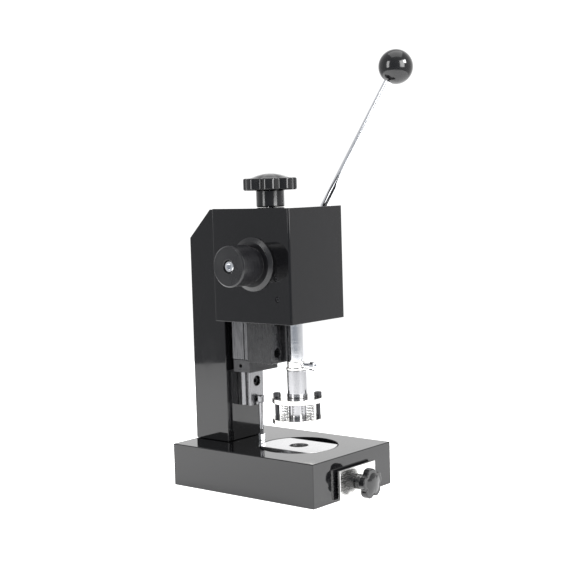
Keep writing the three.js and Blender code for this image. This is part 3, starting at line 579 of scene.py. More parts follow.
def make_base():
    lowest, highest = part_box("base_block")
    made = eased(box_piece("base_block_fine", lowest, highest), EDGE)
    floor = low("die_plate").z - GAP
    recess = size("die_plate").y / 2 + MM
    tray_low, tray_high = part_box("drawer_tray")
    pocket_low = Vector((tray_low.x - MM, lowest.y - 5 * MM, tray_low.z - MM))
    pocket_high = Vector((tray_high.x + MM, tray_high.y + 2 * MM, tray_high.z + 2 * MM))
    above = highest.z + MM
    head = size("column_bolt_1").x / 2 + GAP
    cuts = [
        pit(recess, floor, highest.z, at=RAM_AT, sides=160, edge=0.5 * MM),
        bar(13 * MM, pocket_high.z - MM, floor + MM, at=RAM_AT),
        box_piece("cutter", pocket_low, pocket_high),
        drill(2.8 * MM, low("stop_post").z - MM, above, at=STOP_AT),
    ]
    for number in (1, 2):
        screw = under(f"die_screw_{number}")
        cuts.append(drill(2.3 * MM, low("die_screw_1").z - MM, floor + MM, at=screw))
        bolt = under(f"column_bolt_{number}")
        cuts.append(drill(head, -MM, 11 * MM, at=bolt))
        cuts.append(drill(M10_HOLE, 10 * MM, above, at=bolt))
    present(smooth(carve(made, *cuts)), "base_block")


def make_column():
    lowest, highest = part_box("column")
    slope = 31 * MM
    outline = [
        (lowest.y, lowest.z), (highest.y, lowest.z), (highest.y, highest.z - slope),
        (highest.y - slope, highest.z), (lowest.y, highest.z),
    ]
    made = pulled("column_fine", outline, highest.x - lowest.x)
    # The outline's own x and y become the machine's y and z, and its height becomes x.
    made.data.transform(Matrix(((0, 0, 1, lowest.x), (1, 0, 0, 0), (0, 1, 0, 0), (0, 0, 0, 1))))
    eased(made, 0.7 * MM)
    cuts = []
    head = size("head_bolt_1").x / 2 + GAP
    for number in range(1, 5):
        bolt = abreast(f"head_bolt_{number}")
        cuts.append(pit(head, highest.y - 9 * MM, highest.y, "y", bolt, SMALL_ROUND))
        cuts.append(drill(4.3 * MM, lowest.y - MM, highest.y, "y", bolt))
    for number in (1, 2):
        bolt = under(f"column_bolt_{number}")
        screw = abreast(f"rail_screw_{number}")
        cuts.append(drill(M10_HOLE, lowest.z - MM, high("column_bolt_1").z + 2 * MM, at=bolt))
        cuts.append(drill(M6_HOLE, lowest.y - MM, high("rail_screw_1").y + MM, "y", screw))
    present(smooth(carve(made, *cuts)), "column")


def make_stand_bolts():
    for number in (1, 2):
        cap_screw(f"column_bolt_{number}", "z", 5 * MM, -1)
    for number in range(1, 5):
        cap_screw(f"head_bolt_{number}", "y", 4 * MM, 1)


# ---- die, stop post

def make_die_plate():
    lowest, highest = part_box("die_plate")
    radius = (highest.y - lowest.y) / 2
    flat = (highest.x - lowest.x) / 2
    limit = math.asin(flat / radius)
    steps = 60
    outline = []
    # Two arcs, front and rear; the straight lines between their ends are the plate's flat sides.
    for start in (math.pi / 2 - limit, -math.pi / 2 - limit):
        for i in range(steps + 1):
            angle = start + 2 * limit * i / steps
            outline.append((radius * math.cos(angle), radius * math.sin(angle)))
    made = pulled("die_plate_fine", outline, highest.z - lowest.z, at=(RAM_AXIS.x, RAM_AXIS.y, lowest.z))
    bore = 10.3 * MM
    below, relief_top = lowest.z - MM, lowest.z + 2 * MM
    relief = turned("cutter", [
        (0, below), (bore + 1.5 * MM, below), (bore + 0.6 * MM, relief_top), (0, relief_top),
    ], at=RAM_AT)
    eased(made, 0.3 * MM, 2)
    carve(made, pit(bore, below, highest.z, at=RAM_AT, edge=0.15 * MM), relief)
    present(smooth(made), "die_plate")


def make_die_screws():
    for number in (1, 2):
        cap_screw(f"die_screw_{number}", "z", 2 * MM, 1, knurls=0)


def make_stop():
    lowest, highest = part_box("stop_post")
    head = (highest.x - lowest.x) / 2
    shank = 2.5 * MM
    neck = highest.z - 7 * MM
    profile = [(0, lowest.z), (shank - 0.5 * MM, lowest.z), (shank, lowest.z + 0.5 * MM)]
    pitch = 0.8 * MM
    thread_top = high("stop_nut").z + 5 * MM
    crest = lowest.z + MM
    while crest < thread_top:
        profile += [(shank, crest), (shank - 0.3 * MM, crest + pitch / 2)]
        crest += pitch
    profile += [(shank, thread_top + pitch), (shank, neck - MM), (shank + 0.7 * MM, neck)]
    profile += rounded([(shank + 0.8 * MM, neck), (head, neck), (head, highest.z), (0, highest.z)], 1.2 * MM)
    post = turned("stop_post_fine", profile, at=STOP_AT, sides=48)
    present(smooth(post), "stop_post")
    low_nut, high_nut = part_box("stop_nut")
    across = (high_nut.y - low_nut.y) / 2
    outline = [(across * math.sin(math.pi * i / 3), across * math.cos(math.pi * i / 3)) for i in range(6)]
    nut = pulled("stop_nut_fine", outline, high_nut.z - low_nut.z, at=(*STOP_AT[:2], low_nut.z))
    carve(nut, bar(shank + GAP, low_nut.z - MM, high_nut.z + MM, at=STOP_AT, sides=48))
    present(soften(nut, 0.4 * MM), "stop_nut")


# ---- head

def make_head():
    lowest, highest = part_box("head_housing")
    made = eased(box_piece("head_housing_fine", lowest, highest), 1.5 * MM, 1, upright)
    eased(made, 0.6 * MM)
    bracket_low, bracket_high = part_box("slide_bracket")
    pocket_top = high("ram_bush").z + 2 * MM
    slot_half = 11.6 * MM
    cuts = [
        box_piece("cutter", (bracket_low.x - 3 * MM, bracket_high.y - 36 * MM, lowest.z - MM),
                  (bracket_high.x + 3 * MM, highest.y + MM, pocket_top)),
        box_piece("cutter", (-slot_half, bracket_low.y - 0.8 * MM, lowest.z - MM),
                  (slot_half, bracket_high.y - 30 * MM, bracket_high.z + 1.5 * MM)),
        bar(size("ram_bush").x / 2 + GAP, lowest.z - MM, high("ram_bush").z + GAP, at=RAM_AT),
        bar(size("ram").x / 2 + 0.6 * MM, lowest.z, high("ram").z + 4 * MM, at=RAM_AT),
        bar(size("pinion_bush_left").z / 2 + GAP, lowest.x - MM, highest.x + MM, "x", PINION_AT),
        bar(size("brake_plug").x / 2 + GAP, PINION_AXIS.z, high("brake_plug").z + 8 * MM, at=LOCK_AT),
        bar(size("lock_screw").x / 2 + GAP, high("brake_plug").z, highest.z + MM, at=LOCK_AT),
    ]
    hole = size("side_set_screw_1").z / 2 + GAP
    for number in (1, 2):
        screw = level(f"side_set_screw_{number}")
        cuts.append(drill(hole, lowest.x - MM, high("side_set_screw_1").x + MM, "x", screw))
    present(smooth(carve(made, *cuts)), "head_housing")


def make_side_screws():
    for number in (1, 2):
        node = f"side_set_screw_{number}"
        lowest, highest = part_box(node)
        radius = size(node).z / 2
        edge = 0.4 * MM
        profile = [
            (0, lowest.x), (radius - edge, lowest.x), (radius, lowest.x + edge), (radius, highest.x),
            (0, highest.x),
        ]
        made = turned(f"{node}_fine", profile, "x", level(node), SMALL_ROUND)
        carve(made, bar(1.3 * MM, lowest.x - MM, lowest.x + 3 * MM, "x", level(node), HEXAGON))
        present(smooth(made), node)


def make_ram_bush():
    lowest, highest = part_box("ram_bush")
    outer = (highest.x - lowest.x) / 2
    inner = size("ram").x / 2 + GAP
    edge = 0.6 * MM
    profile = [
        (inner, lowest.z + edge), (inner + edge, lowest.z), (outer - edge, lowest.z),
        (outer, lowest.z + edge),
        (outer, highest.z), (inner, highest.z), (inner, lowest.z + edge),
    ]
    made = turned("ram_bush_fine", profile, at=RAM_AT)
    # The bush is cut away behind the ram, to let the bracket's saddle rise; its front half stays whole.
    past = 20 * MM
    slot_top = high("slide_bracket").z + 1.5 * MM
    carve(made, box_piece("cutter", (-past, low("slide_bracket").y - 0.8 * MM, lowest.z - MM),
                          (past, RAM_AXIS.y + past, slot_top)))
    present(smooth(made), "ram_bush")


def make_spring_housing():
    lowest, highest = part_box("spring_housing")
    flange = (highest.z - lowest.z) / 2
    boss = 18 * MM
    flange_face = highest.x - 3.2 * MM
    shaft = SHAFT + GAP
    room = 14.5 * MM
    outside = rounded([
        (shaft, lowest.x), (boss, lowest.x), (boss, flange_face), (flange - 4.5 * MM, flange_face),
        (flange, highest.x - 0.8 * MM), (flange, highest.x),
    ], 0.3 * MM)
    inside = [(room, highest.x), (room, lowest.x + 1.9 * MM), (shaft, lowest.x + 1.9 * MM), (shaft, lowest.x)]
    made = turned("spring_housing_fine", outside + inside, "x", PINION_AT, FINE_ROUND)
    present(smooth(made), "spring_housing")


def helix(name, radius, wire, turns, bottom, top, sides=14, steps_per_turn=40, closed=0.75):
    """A coil of round wire about +Z whose end turns lie nearly flat."""
    built = bmesh.new()
    steps = int(turns * steps_per_turn)
    rise = top - bottom - 2 * wire
    rings = []
    for i in range(steps + 1):
        turn = turns * i / steps
        angle = 2 * math.pi * turn
        height = bottom + wire + rise * coil_share(turn, turns, closed)
        out = Vector((math.cos(angle), math.sin(angle), 0))
        middle = out * radius + Vector((0, 0, height))
        rings.append([
            built.verts.new(middle + out * wire * math.cos(a) + Vector((0, 0, wire * math.sin(a))))
            for a in (2 * math.pi * k / sides for k in range(sides))
        ])
    for first, second in zip(rings, rings[1:]):
        for k in range(sides):
            built.faces.new((first[k], first[(k + 1) % sides], second[(k + 1) % sides], second[k]))
    built.faces.new(list(reversed(rings[0])))
    built.faces.new(rings[-1])
    return from_bmesh(name, built)


def coil_share(turn, turns, closed):
    """How far up the coil the wire is after so many turns, slow in the closed turn at each end."""
    flat = 0.06
    free = turns - 2 * closed
    if turn < closed:
        return flat * turn / closed
    if turn > turns - closed:
        return 1 - flat * (turns - turn) / closed
    return flat + (1 - 2 * flat) * (turn - closed) / free


def make_return_spring():
    lowest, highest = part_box("return_spring")
    made = helix("return_spring_fine", 11.8 * MM, 0.9 * MM, 4, lowest.x, highest.x, closed=0.5)
    present(smooth(put(made, "x", PINION_AT), 60), "return_spring")


# ---- lever

def rod_ends():
    """Both ends of the rod's axis. The box of a leaning bar is a little bigger than its axis."""
    lowest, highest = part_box("lever_rod")
    across, up = math.cos(LEVER_LEAN), math.sin(LEVER_LEAN)
    start = Vector((centre("lever_rod").x, highest.y - ROD_THICK * across, lowest.z + ROD_THICK * up))
    end = Vector((start.x, lowest.y + ROD_THIN * across, highest.z - ROD_THIN * up))
    return start, end


def rod_direction():
    start, end = rod_ends()
    return (end - start).normalized()


def make_pinion():
    """The shaft runs right through; the teeth lie in the middle, behind the ram."""
    lowest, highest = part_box("pinion_shaft")
    flank = involute_flank()
    outline = []
    for i in range(TEETH):
        middle = 2 * math.pi * i / TEETH
        for side, points in ((-1, flank), (1, reversed(flank))):
            for radius, half in points:
                angle = middle + side * half
                outline.append((radius * math.cos(angle), radius * math.sin(angle)))
    half_width = 11 * MM
    gear = pulled("pinion_shaft_fine", outline, 2 * half_width)
    gear.data.transform(Matrix.Rotation(-math.pi / 2, 4, "Z"))
    put(gear, "x", (-half_width, PINION_AXIS.y, PINION_AXIS.z))
    edge = 0.8 * MM
    axle = turned("axle", [
        (0, lowest.x), (SHAFT - edge, lowest.x), (SHAFT, lowest.x + edge), (SHAFT, highest.x - edge),
        (SHAFT - edge, highest.x), (0, highest.x),
    ], "x", PINION_AT, 64)
    weld(gear, axle)
    carve(gear, drill(CAP_SCREW_HOLE, lowest.x - MM, high("end_cap_screw").x + MM, "x", PINION_AT))
    present(soften(gear, 0.15 * MM, 2), "pinion_shaft")


def involute_flank():
    """One flank of a pinion tooth as (radius, half angle), from root to tip."""
    pitch_radius = MODULE * TEETH / 2
    base = pitch_radius * math.cos(PRESSURE_ANGLE)

    def involute(radius):
        angle = math.acos(min(1, base / radius))
        return math.tan(angle) - angle

    at_pitch = (math.pi * MODULE / 4 - BACKLASH) / pitch_radius + involute(pitch_radius)
    flank = [(pitch_radius - 1.25 * MODULE, at_pitch)]
    steps = 8
    for i in range(steps + 1):
        radius = base + (pitch_radius + MODULE - base) * i / steps
        flank.append((radius, at_pitch - involute(radius)))
    return flank


def make_end_cap():
    lowest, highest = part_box("end_cap")
    radius = (highest.z - lowest.z) / 2
    screw = size("end_cap_screw").z / 2
    counterbore = screw + MM
    edge = 1.4 * MM
    seat = lowest.x + 6 * MM
    shaft = SHAFT + GAP
    stop = low("pinion_shaft").x - GAP
    profile = [
        (CAP_SCREW_HOLE, seat), (counterbore, seat), (counterbore, lowest.x + 0.5 * MM),
        (counterbore + 0.5 * MM, lowest.x),
    ]
    profile += rounded([
        (counterbore + 0.6 * MM, lowest.x), (radius - edge, lowest.x), (radius, lowest.x + edge),
        (radius, highest.x - edge), (radius - edge, highest.x), (shaft, highest.x),
    ], 0.15 * MM)
    profile += [(shaft, stop), (CAP_SCREW_HOLE, stop), (CAP_SCREW_HOLE, seat)]
    made = turned("end_cap_fine", profile, "x", PINION_AT, FINE_ROUND)
    present(smooth(made), "end_cap")
    cap_screw("end_cap_screw", "x", 3.6 * MM, -1, knurls=0)


def make_lever_hub():
    lowest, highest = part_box("lever_hub")
    radius = (highest.z - lowest.z) / 2
    shaft = SHAFT + GAP
    profile = rounded([
        (shaft, lowest.x), (radius, lowest.x), (radius, highest.x), (radius * 0.62, highest.x),
        (radius * 0.6, highest.x - 0.8 * MM), (shaft + 2 * MM, highest.x - 0.8 * MM),
        (shaft, highest.x - 1.4 * MM),
    ], 1.5 * MM)
    made = turned("lever_hub_fine", profile + [profile[0]], "x", PINION_AT, FINE_ROUND)
    hole = along(bar(ROD_THICK + GAP, -20 * MM, 80 * MM, sides=64), rod_ends()[0], rod_direction())
    screw_start = centre("rod_set_screw").x - 3 * MM
    carve(made, hole, drill(M6_HOLE, screw_start, highest.x + MM, "x", level("rod_set_screw")))
    present(smooth(made), "lever_hub")


def make_rod_set_screw():
    lowest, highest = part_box("rod_set_screw")
    at = level("rod_set_screw")
    radius = (highest.z - lowest.z) / 2
    edge = 0.5 * MM
    profile = [
        (0, lowest.x), (radius, lowest.x), (radius, highest.x - edge), (radius - edge, highest.x),
        (0, highest.x),
    ]
    made = turned("rod_set_screw_fine", profile, "x", at, SMALL_ROUND)
    carve(made, bar(1.5 * MM, highest.x - 3 * MM, highest.x + MM, "x", at, HEXAGON))
    present(smooth(made), "rod_set_screw")


def along(made, start, direction):
    """Moves the piece's own origin to start and points its +Z along direction."""
    made.data.transform(Matrix.Translation(start) @ direction.to_track_quat("Z", "Y").to_matrix().to_4x4())
    return made


def make_lever_rod():
    start, end = rod_ends()
    length = (end - start).length
    taper = 45 * MM
    profile = rounded([(0, 0), (ROD_THICK, 0), (ROD_THICK, taper), (ROD_THIN, length), (0, length)], MM)
    made = along(turned("lever_rod_fine", profile, sides=64), start, rod_direction())
    present(smooth(made), "lever_rod")


def make_ball():
    """A ball with a flat where the rod enters."""
    lowest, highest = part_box("ball_knob")
    radius = (highest.x - lowest.x) / 2
    place = Vector((centre("ball_knob").x, lowest.y + radius, highest.z - radius))
    flat = 15.5 * MM
    bore = ROD_THIN + GAP
    floor = -5.7 * MM
    first = math.acos(flat / radius)
    steps = 56
    profile = [(0, floor), (bore, floor), (bore, 0.6 * MM - flat), (bore + 0.6 * MM, -flat)]
    for i in range(steps + 1):
        angle = first + (math.pi - first) * i / steps
        profile.append((radius * math.sin(angle), -radius * math.cos(angle)))
    profile[-1] = (0, radius)
    made = along(turned("ball_knob_fine", profile, sides=FINE_ROUND), place, rod_direction())
    present(smooth(made, 30), "ball_knob")


# ---- star knobs

def star_knob(name, radius, hub, hub_height, rim, dome, lobes, bore, bore_depth, turn, sides=224):
    """A moulded star knob about +Z, one lobe pointing turn past +X."""
    rim_low = hub_height
    rim_high = hub_height + rim
    soft = rim * 0.14
    lip = 0.4 * MM
    # Each point is a radius, a height, and how much of the scallops' depth is taken off there.
    profile = [(0, bore_depth, 0), (bore, bore_depth, 0), (bore, lip, 0), (bore + lip, 0, 0)]
    profile += [(x, z, 0) for x, z in rounded([(hub - MM, 0), (hub, MM), (hub, rim_low - MM)], 0.8 * MM)]
    profile += [(hub + MM, rim_low - 0.2 * MM, 0.1), (radius * 0.7, rim_low, 0.5)]
    quarter = [math.pi / 2 * i / 8 for i in range(9)]
    reach = radius - soft
    profile += [(reach + soft * math.sin(a), rim_low + soft - soft * math.cos(a), 1) for a in quarter]
    profile += [(reach + soft * math.cos(a), rim_high - soft + soft * math.sin(a), 1) for a in quarter]
    crown = radius * 0.74
    profile.append((radius * 0.8, rim_high + 0.1 * MM, 0.6))
    steps = 12
    for i in range(steps):
        share = 1 - i / steps
        profile.append((crown * share, rim_high + dome * (1 - share * share), 0.25 * share))
    profile.append((0, rim_high + dome, 0))
    return smooth(scalloped(name, profile, radius * 0.19, lobes, turn, sides), 50)


def scalloped(name, profile, depth, lobes, turn, sides):
    """Turned from (radius, height, weight) points, with lobes between scallops as deep as depth * weight."""
    built = bmesh.new()
    rings = []
    for radius, height, weight in profile:
        if radius < ON_AXIS:
            rings.append([built.verts.new((0, 0, height))])
            continue
        ring = []
        for i in range(sides):
            angle = 2 * math.pi * i / sides
            valley = (0.5 - 0.5 * math.cos(lobes * (angle - turn))) ** LOBE_BREADTH
            reach = radius - depth * valley * weight
            ring.append(built.verts.new((reach * math.cos(angle), reach * math.sin(angle), height)))
        rings.append(ring)
    return skin(name, rings, built)


def make_top_knob():
    made = star_knob(
        "star_knob_fine", radius=29.2 * MM, hub=15.2 * MM, hub_height=18 * MM, rim=13 * MM, dome=5 * MM,
        lobes=7, bore=M10_HOLE, bore_depth=22 * MM, turn=math.radians(12.9),
    )
    put(made, at=(*LOCK_AT[:2], low("star_knob").z))
    present(made, "star_knob")


def make_drawer_knob():
    seat = low("drawer_front").y - GAP
    made = star_knob(
        "drawer_knob_fine", radius=15.8 * MM, hub=8 * MM, hub_height=11 * MM, rim=8 * MM, dome=2 * MM,
        lobes=5, bore=3 * MM, bore_depth=2 * MM, turn=math.radians(23.3247),
    )
    stud = 3 * MM
    end = seat - high("drawer_knob").y
    outline = rounded([(0, end), (stud, end), (stud, stud), (0, stud)], 0.4 * MM)
    weld(made, turned("stud", outline, sides=SMALL_ROUND))
    # Local +Z points out of the drawer, which is the machine's -Y.
    place = Matrix.Translation((0, seat, DRAWER_STUD_AT[2]))
    made.data.transform(place @ Matrix.Rotation(math.pi / 2, 4, "X"))
    present(smooth(made, 50), "drawer_knob")


# ---- linear guide

def make_rail():
    lowest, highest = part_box("linear_rail")
    half = (highest.x - lowest.x) / 2
    front, rear = lowest.y, highest.y
    waist = half - 2.4 * MM
    right = [
        (half - MM, front), (half, front + MM), (half, front + 4 * MM), (waist, front + 6.5 * MM),
        (waist, front + 9.5 * MM), (half, front + 12 * MM), (half, rear),
    ]
    outline = right + [(-x, y) for x, y in reversed(right)]
    made = eased(pulled("linear_rail_fine", outline, highest.z - lowest.z, at=(0, 0, lowest.z)), 0.3 * MM, 2)
    cuts = []
    for number in (1, 2):
        screw = abreast(f"rail_screw_{number}")
        cuts.append(pit(5.5 * MM, front + 9 * MM, front, "y", screw, 64))
        cuts.append(drill(M6_HOLE, front, rear + MM, "y", screw))
    present(smooth(carve(made, *cuts)), "linear_rail")
    for number in (1, 2):
        cap_screw(f"rail_screw_{number}", "y", 3 * MM, -1)


def straddling(name, node, edge):
    """A block that fits the node's box and straddles the rail."""
    lowest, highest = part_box(node)
    slot = size("linear_rail").x / 2 + GAP
    made = eased(box_piece(name, lowest, highest), edge)
    front = low("linear_rail").y - GAP
    carve(made, box_piece("cutter", (-slot, front, lowest.z - MM), (slot, highest.y + MM, highest.z + MM)))
    return made


def make_carriage():
    lowest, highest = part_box("carriage_body")
    made = straddling("carriage_body_fine", "carriage_body", 0.6 * MM)
    # A shallow groove down each side parts the ground datum strip from the rougher flank behind it.
    width, depth = 1.6 * MM, 0.8 * MM
    near = lowest.y + 6.5 * MM
    cuts = []
    for start, end in ((-highest.x - MM, depth - highest.x), (highest.x - depth, highest.x + MM)):
        cuts.append(box_piece("cutter", (start, near, lowest.z - MM), (end, near + width, highest.z + MM)))
    for number in range(1, 5):
        screw = abreast(f"bracket_screw_{number}")
        cuts.append(drill(M6_HOLE, lowest.y - MM, high("bracket_screw_1").y + MM, "y", screw))
    present(smooth(carve(made, *cuts)), "carriage_body")
    make_carriage_end("carriage_end_lower", low("carriage_end_lower").z + 3 * MM)
    make_carriage_end("carriage_end_upper", high("carriage_end_upper").z - 3 * MM)


def make_carriage_end(node, seal):
    """A moulded end piece with a grease port on each side and a seam all round at the height seal."""
    made = straddling(f"{node}_fine", node, 0.8 * MM)
    lowest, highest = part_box(node)
    port = level(node)
    port = (0, port[1] + 1.5 * MM, port[2])
    cuts = [
        bar(2.2 * MM, lowest.x - MM, lowest.x + 4 * MM, "x", port, 32),
        bar(2.2 * MM, highest.x - 4 * MM, highest.x + MM, "x", port, 32),
    ]
    lip = 0.5 * MM
    for side in (-highest.x, highest.x):
        cuts.append(box_piece("cutter", (side - lip, lowest.y - MM, seal),
                              (side + lip, highest.y + MM, seal + lip)))
    cuts.append(box_piece(
        "cutter", (lowest.x - MM, lowest.y - lip, seal), (highest.x + MM, lowest.y + lip, seal + lip),
    ))
    present(smooth(carve(made, *cuts)), node)


def make_bracket():
    lowest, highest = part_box("slide_bracket")
    nose = 10.8 * MM
    front = lowest.y + 6.5 * MM
    made = eased(box_piece("slide_bracket_fine", (lowest.x, front, lowest.z), highest), 0.8 * MM)
    saddle = eased(box_piece("saddle", (-nose, lowest.y, lowest.z + 2 * MM), (nose, front + MM, highest.z)),
                   0.8 * MM)
    weld(made, saddle)
    cuts = [bar(size("ram").x / 2 + GAP, lowest.z - MM, highest.z + MM, at=RAM_AT)]
    screw_head = size("bracket_screw_1").x / 2 + GAP
    for number in range(1, 5):
        screw = abreast(f"bracket_screw_{number}")
        cuts.append(pit(screw_head, 8 * MM, front, "y", screw, 48))
        cuts.append(drill(M6_HOLE, front, highest.y + MM, "y", screw))
    bolt = abreast("ram_bolt")
    cuts.append(bar(size("ram_bolt").x / 2 + GAP, 12 * MM, highest.y + MM, "y", bolt, 48))
    cuts.append(drill(M6_HOLE, RAM_AXIS.y, 13 * MM, "y", bolt))
    present(smooth(carve(made, *cuts)), "slide_bracket")
    for number in range(1, 5):
        cap_screw(f"bracket_screw_{number}", "y", 3 * MM, -1)
    cap_screw("ram_bolt", "y", 3 * MM, 1)


# ---- ram, punch and stripper

def make_ram():
    lowest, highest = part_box("ram")
    radius = (highest.x - lowest.x) / 2
    profile = rounded([(0, lowest.z), (radius, lowest.z), (radius, highest.z), (0, highest.z)], 0.8 * MM)
    made = turned("ram_fine", profile, at=RAM_AT, sides=FINE_ROUND)
    beyond = radius + MM
    rack_bottom = 230 * MM
    cuts = [
        box_piece("cutter", (-beyond, RAM_AXIS.y + 6.2 * MM, rack_bottom),
                  (beyond, RAM_AXIS.y + 12 * MM, highest.z + MM)),
        bar(M10_HOLE, lowest.z - MM, high("punch").z + MM, at=RAM_AT, sides=48),
        drill(M6_HOLE, RAM_AXIS.y - beyond, RAM_AXIS.y - 4.3 * MM, "y", abreast("clamp_screw")),
        drill(M6_HOLE, low("ram_bolt").y - MM, RAM_AXIS.y + beyond, "y", abreast("ram_bolt")),
    ]
    pitch = math.pi * MODULE
    for i in range(-2, 10):
        cuts.append(rack_gap(PINION_AXIS.z + i * pitch, pitch, radius))
    carve(made, *cuts)
    present(smooth(made, 30), "ram")


def rack_gap(height, pitch, radius):
    """A cutter for the gap between two rack teeth, right across the ram."""
    line = 5 * MM
    deep, open_end = line - 1.25 * MODULE, 7.2 * MM

    def half_at(depth):
        return pitch / 4 + BACKLASH + (depth - line) * math.tan(PRESSURE_ANGLE)

    outline = [
        (deep, -half_at(deep)), (open_end, -half_at(open_end)), (open_end, half_at(open_end)),
        (deep, half_at(deep)),
    ]
    made = pulled("cutter", outline, 4 * radius)
    made.data.transform(Matrix(((0, 0, 1, -2 * radius), (1, 0, 0, RAM_AXIS.y), (0, 1, 0, height),
                                (0, 0, 0, 1))))
    return made


def make_collar():
    """A thin sleeve on the ram, with a foot at its full width where it meets the punch."""
    lowest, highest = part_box("clamp_collar")
    outer = (highest.x - lowest.x) / 2
    inner = size("ram").x / 2 + GAP
    sleeve = inner + 0.8 * MM
    foot = lowest.z + 2.2 * MM
    outside = rounded([
        (inner, lowest.z), (outer, lowest.z), (outer, foot), (sleeve, foot), (sleeve, highest.z),
        (inner, highest.z),
    ], 0.35 * MM)
    made = turned("clamp_collar_fine", outside + [outside[0]], at=RAM_AT)
    carve(made, drill(M6_HOLE, lowest.y - MM, RAM_AXIS.y, "y", abreast("clamp_screw")))
    present(smooth(made), "clamp_collar")
    cap_screw("clamp_screw", "y", 3 * MM, -1)


def make_punch():
    lowest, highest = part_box("punch")
    body = (highest.x - lowest.x) / 2
    tip = 9.7 * MM
    shoulder = high("punch_plate").z + GAP
    body_top = low("ram").z - GAP
    profile = [(0, lowest.z), (tip - 0.15 * MM, lowest.z), (tip, lowest.z + 0.15 * MM), (tip, shoulder)]
    profile += rounded([
        (tip, shoulder), (body, shoulder), (body, shoulder + 3 * MM), (body - 0.5 * MM, shoulder + 3.6 * MM),
        (body - 0.5 * MM, body_top - 1.6 * MM), (body, body_top - MM), (body, body_top),
        (PUNCH_SHANK, body_top),
    ], 0.5 * MM)[1:]
    profile += [(PUNCH_SHANK, highest.z - 0.6 * MM), (PUNCH_SHANK - 0.6 * MM, highest.z), (0, highest.z)]
    made = turned("punch_fine", profile, at=RAM_AT, sides=FINE_ROUND)
    present(smooth(made), "punch")


def plate_with_holes(node, bore, hole, start):
    """A round plate with a bore and two screw holes, which start at the height start and are open above."""
    lowest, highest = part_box(node)
    outer = (highest.x - lowest.x) / 2
    outside = rounded([(bore, lowest.z), (outer, lowest.z), (outer, highest.z), (bore, highest.z)], 0.5 * MM)
    made = turned(f"{node}_fine", outside + [outside[0]], at=RAM_AT, sides=160)
    carve(made, *(
        drill(hole, start, highest.z + MM, at=under(f"shoulder_screw_{number}"))
        for number in (1, 2)
    ))
    present(smooth(made), node)


def make_plates():
    plate_with_holes("punch_plate", 10 * MM, 2.8 * MM, low("punch_plate").z - MM)
    plate_with_holes("stripper_ring", 10.4 * MM, 2.3 * MM, low("stripper_ring").z + MM)


def make_shoulder_screws():
    for number in (1, 2):
        node = f"shoulder_screw_{number}"
        lowest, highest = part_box(node)
        head = (highest.x - lowest.x) / 2
        seat = high("punch_plate").z + GAP
        ring_top = high("stripper_ring").z + GAP
        shoulder = 2.5 * MM
        thread = 2 * MM
        profile = [(0, lowest.z), (thread, lowest.z), (thread, ring_top), (shoulder, ring_top),
                   (shoulder, seat)]
        profile += rounded([(shoulder, seat), (head, seat), (head, highest.z), (0, highest.z)], 0.6 * MM)[1:]
        made = turned(f"{node}_fine", profile, at=under(node), sides=48)
        carve(made, bar(2 * MM, highest.z - 2.8 * MM, highest.z + MM, at=under(node), sides=HEXAGON))
        present(smooth(made), node)


def make_springs():
    """Four compression springs. The real ones shorten as the stripper yields; these keep their rest shape."""
    for number in range(1, 5):
        node = f"stripper_spring_{number}"
        lowest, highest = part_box(node)
        outer = (highest.x - lowest.x) / 2
        wire = 0.6 * MM
        made = helix(f"{node}_fine", outer - wire, wire, 6, lowest.z, highest.z)
        put(made, at=under(node))
        present(smooth(made, 60), node)
        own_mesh(made)


# ---- drawer

def make_drawer():
    lowest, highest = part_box("drawer_tray")
    wall = 2 * MM
    tray = box_piece("drawer_tray_fine", lowest, highest)
    stud = drill(M6_HOLE, lowest.y - MM, lowest.y + 2 * wall + MM, "y", DRAWER_STUD_AT)
    inside = box_piece("cutter", (lowest.x + wall, lowest.y + 2 * wall, lowest.z + wall),
                       (highest.x - wall, highest.y - wall, highest.z + MM))
    eased(tray, 0.4 * MM)
    present(smooth(carve(tray, inside, stud)), "drawer_tray")
    low_plate, high_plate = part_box("drawer_front")
    plate = eased(box_piece("drawer_front_fine", low_plate, high_plate), 0.4 * MM)
    carve(plate, drill(M6_HOLE, low_plate.y - MM, high_plate.y + MM, "y", DRAWER_STUD_AT))
    present(smooth(plate), "drawer_front")


# ---- inner pieces that keep their CAD shape

def finish_inner_pieces():
    """These lie wholly inside the head or the knob, so only their finish is set."""
    for node in ("brake_plug", "pinion_bush_left", "pinion_bush_right", "lock_screw"):
        inner = frame["nodes"][node]
        inner.data.materials.clear()
        inner.data.materials.append(FINISHES[NODE_SLOT[node]])


# ---- stage, lights, camera

# Centre of the pool of light that the floor's emission paints, beside and behind the machine.
PAINTED_GLOW_CENTRE = (-0.35, 0.3, 0)


def make_floor():
    """A round white table that glows: its emission paints a pool of light, brightest beside and behind the
    machine.
    """
    top, bottom, reach = -0.2 * MM, -10.2 * MM, 1.0
    floor = turned("floor", [(0, bottom), (reach, bottom), (reach, top), (0, top)], sides=FINE_ROUND)
    shader = Shader("pale_floor_painted_glow", (0.85, 0.85, 0.85), 0.7)
    shader.main.inputs["Specular IOR Level"].default_value = 0.1
    shader.main.inputs["Emission Color"].default_value = (1, 1, 1, 1)
    where = shader.nodes.new("ShaderNodeTexCoord")
    away = shader.nodes.new("ShaderNodeVectorMath")
    away.operation = "DISTANCE"
    away.inputs[1].default_value = PAINTED_GLOW_CENTRE
    shader.links.new(where.outputs["Object"], away.inputs[0])
    # Painted light: the floor glows, its emission strength falling from 1.5 near the spot to 0.4 far from it.
    glow = shader.remap(away.outputs["Value"], low_out=1.5, high_out=0.4, low_in=0.2, high_in=1.15)
    shader.links.new(glow, shader.main.inputs["Emission Strength"])
    floor.data.materials.append(shader.material)


